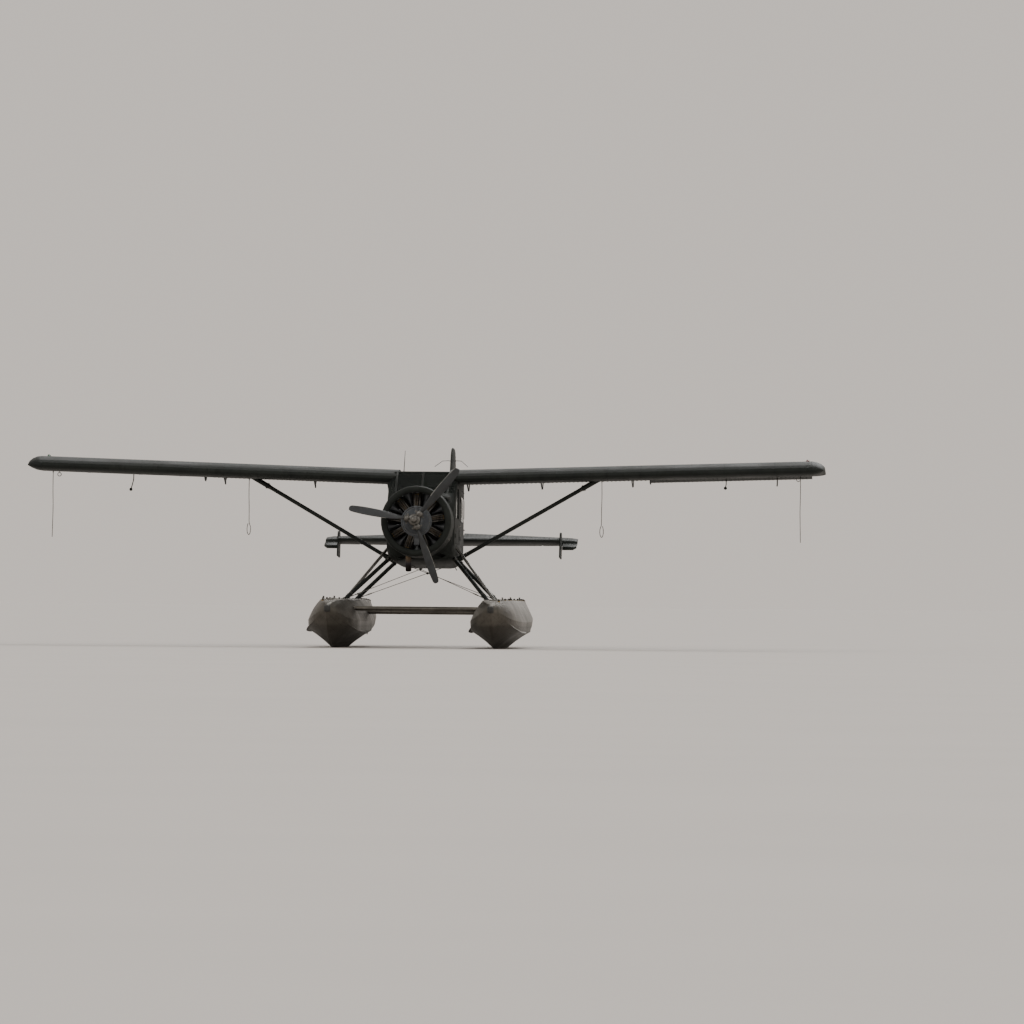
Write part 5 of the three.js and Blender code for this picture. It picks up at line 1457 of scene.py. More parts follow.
def buildAerials():
    whip = fittings["whip"]
    foot = topOf(*whip["foot"])
    tip = foot + Vector((0, whip["rake"], whip["height"]))
    rod = rodBetween(foot + Vector((0, 0, -0.004)), tip, whip["radius"], 10, whip["radius"] * 0.55)
    boot = spunProfile([(0.0, -0.004), (0.024, -0.004), (0.024, 0.004), (0.013, 0.010), (0.009, 0.034),
                        (0.0, 0.034)], 24)
    boot.rotation_euler = (-0.28, 0, 0)
    boot.location = foot
    settle(boot)
    finishPiece(smoothByAngle(rod, 60), "whip_antenna", "airframe", "steel", blackEnamel)
    finishPiece(smoothByAngle(boot, 40), "whip_antenna_boot", "airframe", "panel_black", rubber)

    dome = fittings["dome"]
    reach, rise = dome["radius"], dome["height"]
    profile = [(0.0, -0.004), (reach + 0.012, -0.004), (reach + 0.012, 0.003), (reach + 0.002, 0.005)]
    profile += [(reach * math.cos(a), 0.005 + (rise - 0.005) * math.sin(a)) for a in
                (math.radians(d) for d in (8, 20, 34, 48, 62, 76))] + [(0.0, rise)]
    cap = spunProfile(profile, 36)
    cap.location = topOf(*dome["foot"])
    finishPiece(smoothByAngle(settle(cap), 45), "roof_antenna_dome", "airframe", "painted_skin",
                blackEnamel)

    whisker = fittings["whisker"]
    parts = []
    for side in (1, -1):
        root = onSurface("fin", (side, *whisker["root"]), (-side, 0, 0))
        line = [root + Vector((-side * 0.004, 0, 0)), root + Vector((side * 0.012, -0.004, 0.006))]
        line += [root + Vector((side * x, y, z)) for x, y, z in whisker["line"]]
        parts.append(tubeAlong(line, whisker["radius"], 10))
        pad = box(-0.006, 0.006, -0.032, 0.024, -0.013, 0.013, 0.005, 3)
        pad.location = root
        parts.append(smoothByAngle(settle(pad), 40))
    finishPiece(joinParts("whiskers", parts), "fin_whisker_antenna", "airframe", "steel", blackEnamel)


def teardrop(half, keepFront, shrink=1.0):
    # half of a long egg on its base plane: the lens in front or the fairing behind
    wide, long, tall = half
    bpy.ops.mesh.primitive_uv_sphere_add(segments=32, ring_count=20, radius=1)
    piece = bpy.context.object
    for point in piece.data.vertices:
        x, y, z = point.co
        stretch = 1.0 if y > 0 else 0.45
        point.co = (x * wide * shrink, y * long * stretch, z * tall * shrink)
    editMesh(piece)
    bpy.ops.mesh.bisect(plane_co=(0, 0, -0.006), plane_no=(0, 0, 1), use_fill=True, clear_inner=True)
    bpy.ops.mesh.select_all(action="SELECT")
    bpy.ops.mesh.bisect(plane_co=(0, -0.004, 0), plane_no=(0, 1, 0), use_fill=True,
                        clear_inner=not keepFront, clear_outer=keepFront)
    leaveEdit()
    return smoothByAngle(piece, 40)


def buildLamps():
    lamp, ring, drain = fittings["lamp"], fittings["ring"], fittings["drain"]
    stubs = []
    for name, side in sides.items():
        seat = wingPlace(side) @ Vector((side * lamp["across"], lamp["station"], 0))
        foot = topOf(seat.x, seat.y)
        for kind, front, shrink, material, slot in (
                ("lens", True, 0.94, redLens if side > 0 else greenLens, "glazing"),
                ("fairing", False, 1.0, wingEnamel, "painted_skin")):
            part = teardrop(lamp["half"], front, shrink)
            part.location = foot
            finishPiece(settle(part), f"wingtip_lamp_{kind}_{name}", "airframe", slot, material)
        bulb = spunProfile([(0.0, 0.004), (0.007, 0.004), (0.008, 0.012), (0.006, 0.021), (0.0, 0.024)], 16)
        bulb.location = foot + Vector((0, -0.018, 0))
        finishPiece(smoothByAngle(settle(bulb), 50), f"wingtip_lamp_bulb_{name}", "airframe", "steel",
                    steel)

        eye = underWing(side, ring["across"], ring["station"])
        hoop = hoopAt(eye + Vector((0, 0, -0.020 - ring["radius"])), ring["radius"], ring["wire"], 32, 10)
        shank = rodBetween(eye + Vector((0, 0, 0.004)), eye + Vector((0, 0, -0.022)), 0.0055, 12)
        washer = rodBetween(eye + Vector((0, 0, 0.004)), eye + Vector((0, 0, -0.004)), 0.016, 24, 0.014)
        whole = joinParts("tieRing", [smoothByAngle(p, 50) for p in (hoop, shank, washer)])
        finishPiece(whole, f"tie_down_ring_{name}", "airframe", "steel", steel)

        x, y = drain["foot"]
        outlet = onSurface("cabin_shell", (side * x, y, 0.8), (0, 0, 1))
        lean = Vector(drain["line"]) * Vector((side, 1, 1))
        stub = rodBetween(outlet - lean * 0.2, outlet + lean, drain["radius"], 16, 0.008)
        stubs.append(smoothByAngle(stub, 50))
    finishPiece(joinParts("drains", stubs), "belly_drain_stubs", "airframe", "steel", steel)

    s0, s1, h0, h1 = fittings["hatch"]
    outline = roundedOutline(rectangle(s0, s1, h0, h1), 0.025, 5)
    lid = extrudedThrough([onWall(outline, -0.001), onWall(outline, 0.0015),
                           onWall(shrunk(outline, 0.975), 0.003)])
    studs = [rodBetween((wallAt(s) + 0.002, s, h), (wallAt(s) + 0.0058, s, h), 0.0075, 14, 0.006)
             for s in (s0 + 0.018, s1 - 0.018) for h in (h0 + 0.022, h1 - 0.022)]
    hinge = tubeAlong([(wallAt(s0) + 0.003, s0 - 0.002, h) for h in (h0 + 0.03, h1 - 0.03)], 0.0045, 10)
    hatch = ontoAirframe(joinParts("fillerDoor", [smoothByAngle(p, 35) for p in (lid, hinge, *studs)]))
    finishPiece(hatch, "fuel_filler_door", "airframe", "painted_skin", fuselageEnamel)


buildAerials()
buildLamps()
print("aerials and lamps fitted")


# Strut bands and bolts, wire turnbuckles, ladder treads and the cowl's fasteners
struts = {
    "section": [(0.5, 0.0), (0.44, 0.55), (0.28, 0.95), (0.05, 1.0), (-0.2, 0.75), (-0.5, 0.08)],
    "wing": {"foot": (0.560, 0.0, 0.060), "head": (3.282, 0.070, 1.645), "chord": 0.160, "thick": 0.072,
             "bands": [(0.078, 0.175, 0.085), (0.50, 0.160, 0.072), (0.842, 0.168, 0.078)],
             "bolts": [(0.045, 0.092), (0.862, 0.090)]},
    "front": {"foot": (1.300, -1.600, 0.864), "head": (0.530, -0.372, 1.690), "chord": 0.134, "thick": 0.072,
              "bands": [(0.11, 0.134, 0.072), (0.86, 0.134, 0.072)], "bolts": [(0.07, 0.072), (0.90, 0.072)]},
    "rear": {"foot": (1.300, 0.500, 0.864), "head": (0.530, 0.800, 1.625), "chord": 0.134, "thick": 0.072,
             "bands": [(0.13, 0.134, 0.072), (0.84, 0.134, 0.072)], "bolts": [(0.085, 0.072), (0.885, 0.072)]},
    "wires": {"front": ((1.300, -1.600, 0.878), (-0.520, -0.385, 1.650)),
              "rear": ((1.300, 0.500, 0.878), (-0.470, 0.800, 1.535))},
    "turnbuckle": {"from": 0.085, "long": 0.190, "radius": 0.0115},
    "ladder": {"foot": (1.400, -0.960, 0.830), "head": (0.600, -0.500, 1.850), "across": 0.290,
               "rungs": [0.24, 0.47, 0.70], "radius": 0.0172},
}
cowl = {
    "rings": [(-1.600, 36), (-1.135, 36)], "seams": [-30, 90, 210], "seamStations": (-1.545, -1.190, 8),
    "latches": [-1.48, -1.25], "lip": -1.094,
    # ends and radius of the clamped run
    "exhaust": ((-0.200, -0.990, 0.030), (-0.200, -0.978, -0.036), 0.0555),
}


def strutFrame(line):
    foot, head = Vector(line["foot"]), Vector(line["head"])
    along = (head - foot).normalized()
    ahead = Vector((0, -1, 0))
    forward = (ahead - along * ahead.dot(along)).normalized()
    return foot, head, along, forward, along.cross(forward)


def strutDetails(line):
    foot, head, along, forward, across = strutFrame(line)
    half = struts["section"]
    outline = half + [(f, -t) for f, t in reversed(half[1:])]
    parts = []
    for share, chord, thick in line["bands"]:
        middle = foot.lerp(head, share)
        ring = [middle + forward * f * chord + across * t * thick / 2 for f, t in outline]
        for shift in (-0.013, 0.013):
            parts.append(loopTube([p + along * shift for p in ring], 0.0042, 8))
    for share, thick in line["bolts"]:
        for step in (-0.022, 0.026):
            middle = foot.lerp(head, share) + forward * (0.012 + step)
            reach = across * (thick / 2 + 0.001)
            parts.append(rodBetween(middle - reach * 1.07, middle + reach * 1.07, 0.0135, 20))
            parts.append(rodBetween(middle - reach * 1.22, middle + reach * 1.22, 0.0088, 6))
    return joinParts("strutDetails", [smoothByAngle(p, 40) for p in parts])


def turnbuckle(start, end):
    # a barrel with a hexagon at its middle, threaded shanks and a forked eye
    start, end = Vector(start), Vector(end)
    line = (end - start).normalized()
    length, radius = struts["turnbuckle"]["long"], struts["turnbuckle"]["radius"]
    foot = start.lerp(end, struts["turnbuckle"]["from"])
    at = [foot + line * length * share for share in (-0.22, 0.0, 0.2, 0.42, 0.58, 0.8, 1.0)]
    parts = [rodBetween(at[1], at[2], 0.0072, 14), rodBetween(at[5], at[6], 0.0072, 14),
             rodBetween(at[2], at[3], radius, 20, radius * 0.86), rodBetween(at[3], at[4], radius * 1.18, 6),
             rodBetween(at[4], at[5], radius * 0.86, 20, radius), rodBetween(at[0], at[1], 0.0095, 12, 0.0075)]
    return [smoothByAngle(p, 35) for p in parts]


def buildStruts():
    wing = ontoAirframe(strutDetails(struts["wing"]))
    bothSides(wing, "wing_strut_bands_{}", "airframe", "steel", steel)
    for name in ("front", "rear"):
        details = strutDetails(struts[name])
        details.matrix_world = floatsPlace @ details.matrix_world
        bothSides(settle(details), name + "_strut_bands_{}", "airframe", "steel", steel)

        start, end = struts["wires"][name]
        buckle = joinParts("turnbuckle", turnbuckle(start, end))
        buckle.matrix_world = floatsPlace @ buckle.matrix_world
        bothSides(settle(buckle), name + "_turnbuckle_{}", "airframe", "steel", finish["stainlessWireDrawn"])
        share = start[0] / (start[0] - end[0])
        crossing = Vector(start).lerp(Vector(end), share)
        profile = [(0.0, -0.020), (0.010, -0.019), (0.021, -0.010), (0.024, 0.0), (0.021, 0.010),
                   (0.010, 0.019), (0.0, 0.020)]
        acorn = smoothByAngle(spunProfile(profile, 28, "Y"), 60)
        acorn.matrix_world = floatsPlace @ Matrix.Translation(crossing) @ acorn.matrix_world
        finishPiece(settle(acorn), f"wire_acorn_{name}", "airframe", "steel", rubber)

    ladder = struts["ladder"]
    treads = []
    for share in ladder["rungs"]:
        near = Vector(ladder["foot"]).lerp(Vector(ladder["head"]), share)
        profile = [(0.0, 0.030)]
        for i in range(12):
            along = 0.030 + i * 0.0192
            profile += [(ladder["radius"], along), (ladder["radius"], along + 0.0125), (0.0155, along + 0.0145)]
        profile += [(ladder["radius"], 0.262), (0.0, 0.262)]
        tread = smoothByAngle(spunProfile(profile, 20, "Y"), 30)
        aft = Matrix.Translation(near + Vector((0, 0.292, 0)))
        tread.matrix_world = floatsPlace @ aft @ tread.matrix_world
        treads.append(settle(tread))
    bothSides(joinParts("treads", treads), "ladder_treads_{}", "airframe", "panel_black", rubber)


def onCowl(station, degrees):
    turn = math.radians(degrees)
    outward = airframePlace.to_3x3() @ Vector((math.cos(turn), 0, math.sin(turn)))
    axis = airframePlace @ Vector((0, station, engine["axisHeight"]))
    return onSurface("engine_cowl", axis + outward * 1.2, -outward), outward


def buildCowlFasteners():
    places = [(s, 360 * (k + 0.5) / count) for s, count in cowl["rings"] for k in range(count)]
    first, last, count = cowl["seamStations"]
    places += [(first + (last - first) * i / (count - 1), seam + 1.6)
               for seam in cowl["seams"] for i in range(count)]
    studs = []
    for station, degrees in places:
        seat, outward = onCowl(station, degrees)
        studs.append(rodBetween(seat - outward * 0.001, seat + outward * 0.0026, 0.0082, 10, 0.0062))
    finishPiece(smoothByAngle(joinParts("studs", studs), 35), "cowl_fasteners", "airframe", "steel", steel)

    parts = []
    for seam in cowl["seams"]:
        for station in cowl["latches"]:
            for shift, wide, tall in ((0.0, 0.030, 0.007), (0.034, 0.014, 0.010)):
                seat, outward = onCowl(station, seam + math.degrees(shift / 0.64))
                plate = box(-wide / 2, wide / 2, -0.011, 0.011, -0.002, tall, 0.003, 2)
                facing = outward.to_track_quat("Z", "Y").to_matrix().to_4x4()
                plate.matrix_world = Matrix.Translation(seat) @ facing @ Matrix.Rotation(math.pi / 2, 4, "Z")
                parts.append(smoothByAngle(settle(plate), 35))
    finishPiece(joinParts("latches", parts), "cowl_latches", "airframe", "steel", steel)
    lip = loopTube([onCowl(cowl["lip"], 360 * k / 96)[0] for k in range(96)], 0.0045, 8)
    finishPiece(lip, "cowl_rear_bead", "airframe", "painted_skin", fuselageEnamel)

    low, high, radius = cowl["exhaust"]
    low, high = Vector(low), Vector(high)
    along = (high - low).normalized()
    side, fore = Vector((1, 0, 0)), along.cross(Vector((1, 0, 0)))
    bands = []
    for share in (0.15, 0.75):
        middle = low.lerp(high, share)
        bands.append(loopTube([middle + (side * math.cos(a) + fore * math.sin(a)) * radius for a in
                               (2 * math.pi * k / 32 for k in range(32))], 0.0042, 8))
    ahead = low + fore * 0.02
    bolt = rodBetween(ahead + side * (radius - 0.004), ahead + side * (radius + 0.018), 0.006, 6)
    finishPiece(ontoAirframe(joinParts("clamp", [*bands, bolt])), "exhaust_clamp", "airframe", "steel", steel)
    print("struts and cowl fitted")


buildStruts()
buildCowlFasteners()


# Seats: swollen cloth pads with piping and sewn channels on tube frames, with flat lap straps
seats = {
    "crewAcross": 0.300, "voxel": 0.007, "benchVoxel": 0.0095,
    # half width, front and rear, bottom and top of the starting block, how far it may swell, channels
    "crewPad": {"half": 0.196, "along": (-0.286, 0.118), "up": (0.569, 0.630), "swell": 0.014, "channels": 4},
    "crewBack": {"half": 0.188, "along": (-0.034, 0.030), "up": (0.060, 0.610), "swell": 0.014, "channels": 4},
    "benchPad": {"half": 0.486, "along": (1.200, 1.500), "up": (0.562, 0.622), "swell": 0.014, "channels": 9},
    "benchBack": {"half": 0.482, "along": (-0.030, 0.028), "up": (0.062, 0.545), "swell": 0.014, "channels": 9},
    "crewLean": ((0.100, 0.600), 11.1), "benchLean": ((1.540, 0.600), 12.0),
    "floor": 0.341, "tube": 0.0125, "piping": 0.0042, "strap": (0.046, 0.0022),
    "pressure": 4.0, "settling": 20,     # of the filling, and the steps it is given
    "sewn": (0.0075, 0.007),             # depth and half width of a channel
    "crown": 0.004,
}


def swollenPad(name, voxel):
    # the closed cover is blown up by a light pressure, as its filling does, then sewn down in channels
    size = seats[name]
    half, (y0, y1), (z0, z1) = size["half"], size["along"], size["up"]
    pad = box(-half, half, y0, y1, z0, z1, 0.020, 3)
    applyModifier(pad, "REMESH", mode="VOXEL", voxel_size=voxel)
    start = [v.co.copy() for v in pad.data.vertices]
    activate(pad)
    cloth = pad.modifiers.new("Cloth", "CLOTH")
    cloth.settings.use_pressure = True
    cloth.settings.uniform_pressure_force = seats["pressure"]
    cloth.settings.effector_weights.gravity = 0
    for step in range(seats["settling"]):
        bpy.context.scene.frame_set(step + 1)
    bpy.ops.object.modifier_apply(modifier=cloth.name)
    bpy.context.scene.frame_set(1)
    upright = z1 - z0 > y1 - y0
    runMiddle, runHalf = ((z0 + z1) / 2, (z1 - z0) / 2) if upright else ((y0 + y1) / 2, (y1 - y0) / 2)
    depth, width = seats["sewn"]
    for point, origin in zip(pad.data.vertices, start):
        move = point.co - origin
        if move.length > size["swell"]:
            point.co = origin + move.normalized() * size["swell"]
        # crown towards the middle, and channels that fade out before the edges
        across = point.co.x / half
        run = ((point.co.z if upright else point.co.y) - runMiddle) / runHalf
        inner = max(0.0, 1 - across ** 4) * max(0.0, 1 - run ** 4)
        place = (point.co.x + half) / (2 * half) * (size["channels"] + 1)
        gap = abs(place - round(place)) * 2 * half / (size["channels"] + 1)
        sewn = depth * math.exp(-(gap / width) ** 2) * min(1.0, inner * 2.5) - seats["crown"] * inner
        if upright and point.co.y < (y0 + y1) / 2:
            point.co.y += sewn
        elif not upright and point.co.z > (z0 + z1) / 2:
            point.co.z -= sewn
    return smoothByAngle(pad, 60)


def padTree(pad):
    faces = [tuple(p.vertices) for p in pad.data.polygons]
    return BVHTree.FromPolygons([v.co for v in pad.data.vertices], faces)


def pipingRound(name, pad):
    # a sewn cord round both faces of the pad, laid on the cover wherever it ended up
    size, tree = seats[name], padTree(pad)
    half, (y0, y1), (z0, z1) = size["half"], size["along"], size["up"]
    upright = z1 - z0 > y1 - y0
    far = 0.004
    (run0, run1), (near, beyond) = ((z0, z1), (y0, y1)) if upright else ((y0, y1), (z0, z1))
    loops = []
    for level in (near - far, beyond + far):
        outline = roundedOutline(rectangle(-half, half, run0, run1), 0.040, 6)
        dense = []
        for i, a in enumerate(outline):
            b = outline[(i + 1) % len(outline)]
            steps = max(1, int((b - a).length / 0.03))
            dense += [a + (b - a) * k / steps for k in range(steps)]
        points = [Vector((p.x, level, p.y)) if upright else Vector((p.x, p.y, level)) for p in dense]
        loops.append(loopTube([tree.find_nearest(p)[0] for p in points], seats["piping"], 8))
    return joinParts("piping", loops)


def strapOver(points, tree, width, thick):
    # flat webbing laid over the pad
    rings = []
    for i, point in enumerate(points):
        ahead = (points[min(i + 1, len(points) - 1)] - points[max(i - 1, 0)]).normalized()
        seat, normal, _, _ = tree.find_nearest(point)
        across = ahead.cross(normal).normalized() * width / 2
        base = seat + normal * 0.0012
        lift = normal * thick
        rings.append([base - across, base + across, base + across + lift, base - across + lift])
    return smoothByAngle(extrudedThrough(rings), 30)


def tubeRun(points, closed=False):
    return tubeAlong([Vector(p) for p in points], seats["tube"], 12, closed=closed)


def crewFrame():
    floor, reach = seats["floor"] + 0.004, 0.150
    parts = []
    for x in (-reach, reach):
        parts.append(tubeRun([(x, -0.235, floor), (x, -0.245, 0.535), (x, -0.225, 0.548), (x, 0.080, 0.548),
                              (x, 0.098, 0.535), (x, 0.085, floor)]))
        parts.append(tubeRun([(x, 0.085, 0.548), (x, 0.165, 0.640), (x, 0.285, 1.180)]))
        parts.append(smoothByAngle(box(x - 0.020, x + 0.020, -0.250, 0.100, 0.340, 0.352, 0.003), 30))
    for y, z in ((0.285, 1.180), (-0.240, 0.420), (0.090, 0.420)):
        parts.append(tubeRun([(-reach, y, z), (reach, y, z)]))
    parts.append(smoothByAngle(box(-0.185, 0.185, -0.270, 0.105, 0.5475, 0.5535, 0.002), 30))
    return joinParts("crewFrame", parts)


def buckle():
    plate = box(-0.030, 0.030, -0.022, 0.022, 0.0, 0.011, 0.004, 3)
    latch = box(-0.022, 0.018, -0.017, 0.017, 0.008, 0.016, 0.003, 2)
    return joinParts("buckle", [smoothByAngle(plate, 30), smoothByAngle(latch, 30)])


def leaned(piece, lean):
    (station, height), degrees = lean
    back = Matrix.Rotation(math.radians(-degrees), 4, "X")
    piece.matrix_world = Matrix.Translation((0, station, height)) @ back @ piece.matrix_world
    return settle(piece)


def seatSet(prefix, pad, back, lean, frameTubes, names, acrosses, voxel):
    padPiece, backPiece = swollenPad(pad, voxel), swollenPad(back, voxel)
    tree = padTree(padPiece)
    trims = [pipingRound(pad, padPiece), leaned(pipingRound(back, backPiece), lean)]
    leaned(backPiece, lean)
    half = 0.185
    top = seats[pad]["up"][1] + 0.02
    y = sum(seats[pad]["along"]) / 2 + 0.06
    straps, centres = [], [0.0] if len(names) == 2 else [-0.25, 0.25]
    for centre in centres:
        for way in (1, -1):
            line = [Vector((centre + way * (half - 0.01 - i * 0.019), y + 0.03 - 0.004 * i, top))
                    for i in range(9)]
            straps.append(strapOver(line, tree, *seats["strap"]))
    webbing = joinParts("straps", straps)
    clasps = []
    for centre in centres:
        seat, normal, _, _ = tree.find_nearest(Vector((centre, y, top)))
        clasp = buckle()
        clasp.location = seat + normal * 0.0035
        clasps.append(settle(clasp))
    clasp = joinParts("clasps", clasps)
    for name, across in zip(names, acrosses):
        place = airframePlace @ Matrix.Translation((across, 0, 0))
        stands = [name]
        for kind, source in (("pad", padPiece), ("back", backPiece)):
            piece = finishPiece(placed(source, place), f"{name}_{kind}", "airframe", "seat_cloth", seatWool,
                                stands=stands)
        for kind, trim in zip(("pad", "back"), trims):
            finishPiece(placed(trim, place), f"{name}_{kind}_piping", "airframe", "seat_cloth", seatWool)
        finishPiece(placed(webbing, place), f"{name}_lap_straps", "airframe", "seat_cloth",
                    finish["webbingWoven"])
        finishPiece(placed(clasp, place), f"{name}_buckles", "airframe", "steel", steel)
        finishPiece(placed(frameTubes, place), f"{name}_frame", "airframe", "steel", greyCasting,
                    stands=stands)
    removed(padPiece, backPiece, *trims, webbing, clasp, frameTubes)


def benchFrame():
    floor, reach = seats["floor"] + 0.004, 0.455
    parts = []
    for x in (-reach, 0.0, reach):
        parts.append(tubeRun([(x, 1.245, floor), (x, 1.235, 0.528), (x, 1.255, 0.540), (x, 1.520, 0.540),
                              (x, 1.612, 0.640), (x, 1.722, 1.120)]))
        parts.append(tubeRun([(x, 1.500, floor), (x, 1.515, 0.540)]))
    for y, z in ((1.240, 0.500), (1.515, 0.500), (1.722, 1.120)):
        parts.append(tubeRun([(-reach, y, z), (reach, y, z)]))
    parts.append(smoothByAngle(box(-0.478, 0.478, 1.215, 1.525, 0.5395, 0.5455, 0.002), 30))
    return joinParts("benchFrame", parts)


seatSet("crew", "crewPad", "crewBack", seats["crewLean"], crewFrame(), ("seat_left", "seat_right"),
        (seats["crewAcross"], -seats["crewAcross"]), seats["voxel"])
seatSet("bench", "benchPad", "benchBack", seats["benchLean"], benchFrame(), ("rear_bench",), (0.0,),
        seats["benchVoxel"])
print("seats padded")


# Flight deck: panel with dials and switches, padded glareshield, quadrant, wheel, pedals and floor mat
deck = {
    "panel": (0.572, -0.716, -0.692, 0.902, 1.152),      # half width, front, aft face, bottom, top
    "binnacle": (0.560, -0.9237, -0.716, 0.930, 1.120),
    # across, height, radius of each dial, pointer angle in degrees
    "dials": [(0.420, 1.075, 0.041, 20), (0.325, 1.075, 0.041, 140), (0.230, 1.075, 0.041, -60),
              (0.420, 0.975, 0.041, 90), (0.325, 0.975, 0.041, 200), (0.230, 0.975, 0.041, -20),
              (0.142, 1.090, 0.029, 50), (0.142, 1.020, 0.029, -110), (-0.150, 1.085, 0.041, 75),
              (-0.250, 1.085, 0.029, 10), (-0.320, 1.085, 0.029, 160), (-0.390, 1.085, 0.029, -45),
              (-0.150, 0.985, 0.029, 120), (0.505, 1.075, 0.024, -15), (0.505, 1.010, 0.024, 60)],
    "radios": [(1.106, 0.036), (1.060, 0.036), (1.006, 0.052)],   # height and tallness of each set
    "switches": [(0.130 - 0.028 * i, 0.930) for i in range(9)],
    "shield": [(-0.9230, 1.121), (-0.6200, 1.121), (-0.6140, 1.135), (-0.6240, 1.152), (-0.7000, 1.184),
               (-0.9230, 1.185)],
    "quadrant": (0.090, -0.835, -0.655, 0.345, 0.985),
    # across, how far it leans aft, the knob's finish
    "levers": [(-0.048, 0.30, "enamelBlackBaked"), (0.0, 0.10, "enamelBlackBaked"),
               (0.048, 0.38, "leverKnobRed")],
    "wheel": {"centre": (0.300, -0.505, 0.905), "radius": 0.125, "tube": 0.0115},
    "column": [(0, -0.690, 0.760), (0, -0.600, 0.785), (0, -0.560, 0.802), (0.060, -0.548, 0.822),
               (0.240, -0.536, 0.884), (0.300, -0.530, 0.905), (0.300, -0.505, 0.905)],
    "pedals": {"across": [-0.385, -0.215, 0.215, 0.385], "foot": (-0.780, 0.352)},
    "mat": (0.545, -0.640, 1.780, 0.3405, 0.3460, 26),
}


facingAft = Matrix.Rotation(-math.pi / 2, 4, "X")


def dialUnit():
    # radius 1 cm unit facing +Z: bezel, face and twelve ticks
    bezel = spunProfile([(0.0, -0.004), (1.12, -0.004), (1.16, 0.10), (1.10, 0.20), (1.0, 0.19), (0.96, 0.05),
                         (0.0, 0.05)], 32)
    coated(coated(bezel, blackEnamel), finish["dialFacePrinted"])
    for face in bezel.data.polygons:
        if face.center.z > 0.0 and math.hypot(face.center.x, face.center.y) < 0.93:
            face.material_index = 1
    parts = [smoothByAngle(bezel, 35)]
    for k in range(12):
        turn = 2 * math.pi * k / 12
        tick = box(-0.022, 0.022, -0.075, 0.075, 0.052, 0.060)
        tick.matrix_world = Matrix.Rotation(turn, 4, "Z") @ Matrix.Translation((0, 0.80, 0))
        parts.append(coated(settle(tick), finish["enamelIvoryPrinted"]))
    return joinParts("dialUnit", parts)


def dialAt(unit, across, height, radius, pointer):
    face = deck["panel"][2]
    aft = Matrix.Translation((across, face, height)) @ facingAft @ Matrix.Scale(radius, 4)
    needle = box(-0.028, 0.028, -0.16, 0.66, 0.075, 0.090)
    needle.matrix_world = Matrix.Rotation(math.radians(pointer), 4, "Z")
    coated(settle(needle), finish["enamelIvoryPrinted"])
    hub = coated(spunProfile([(0.0, 0.05), (0.09, 0.05), (0.09, 0.105), (0.0, 0.11)], 14), blackEnamel, 35)
    parts = [placed(part, aft) for part in (unit, needle, hub)]
    screws = 3 if radius < 0.035 else 4
    for k in range(screws):
        turn = math.pi / 4 + 2 * math.pi * k / screws
        x, z = across + 1.28 * radius * math.cos(turn), height + 1.28 * radius * math.sin(turn)
        parts.append(coated(rodBetween((x, face - 0.001, z), (x, face + 0.0015, z), 0.0032, 8, 0.0026), steel))
    removed(needle, hub)
    return parts


def buildPanel():
    half, front, aft, low, high = deck["panel"]
    panel = box(-half, half, front, aft, low, high, 0.006, 3)
    wide, b0, b1, h0, h1 = deck["binnacle"]
    housing = box(-wide, wide, b0, b1, h0, h1, 0.012, 3)
    face = joinParts("panel", [smoothByAngle(panel, 30), smoothByAngle(housing, 30)])
    finishPiece(ontoAirframe(face), "instrument_panel_face", "airframe", "panel_black",
                finish["crackleLacquerBaked"], stands=["instrument_panel"])

    unit = dialUnit()
    parts = []
    for dial in deck["dials"]:
        parts += dialAt(unit, *dial)
    removed(unit)
    finishPiece(ontoAirframe(joinParts("dials", parts)), "flight_dials", "airframe", "panel_black")

    parts = []
    for height, tall in deck["radios"]:
        body = box(-0.092, 0.084, aft - 0.002, aft + 0.010, height - tall / 2, height + tall / 2, 0.003, 2)
        window = box(-0.055, 0.045, aft + 0.008, aft + 0.0115, height - tall * 0.22, height + tall * 0.26,
                     0.001, 1)
        parts += [coated(body, blackEnamel, 30), coated(window, finish["dialFacePrinted"])]
        for x in (-0.076, 0.067):
            knob = spunProfile([(0.0, 0.0), (0.0095, 0.0), (0.0085, 0.014), (0.0070, 0.016), (0.0, 0.016)], 18)
            knob.matrix_world = Matrix.Translation((x, aft + 0.009, height)) @ facingAft
            parts.append(coated(settle(knob), rubber, 35))
    for x, height in deck["switches"]:
        nut = rodBetween((x, aft - 0.001, height), (x, aft + 0.004, height), 0.0070, 6)
        bat = rodBetween((x, aft + 0.002, height), (x, aft + 0.019, height + 0.007), 0.0022, 10, 0.0034)
        parts += [coated(part, steel, 40) for part in (nut, bat)]
    finishPiece(ontoAirframe(joinParts("radios", parts)), "radio_stack", "airframe", "panel_black")

    outline = deck["shield"]
    rings = [[Vector((x, s, h)) for s, h in outline] for x in (-0.538, 0.538)]
    shield = extrudedThrough(rings)
    applyModifier(shield, "BEVEL", width=0.006, segments=3, limit_method="ANGLE", angle_limit=math.radians(30))
    stitches = tubeAlong([(x, -0.6195, 1.1385) for x in (-0.52, 0, 0.52)], 0.003, 8)
    shield = joinParts("shield", [smoothByAngle(shield, 35), stitches])
    finishPiece(ontoAirframe(shield), "glareshield_padded", "airframe", "panel_black",
                finish["vinylBlackPressed"])


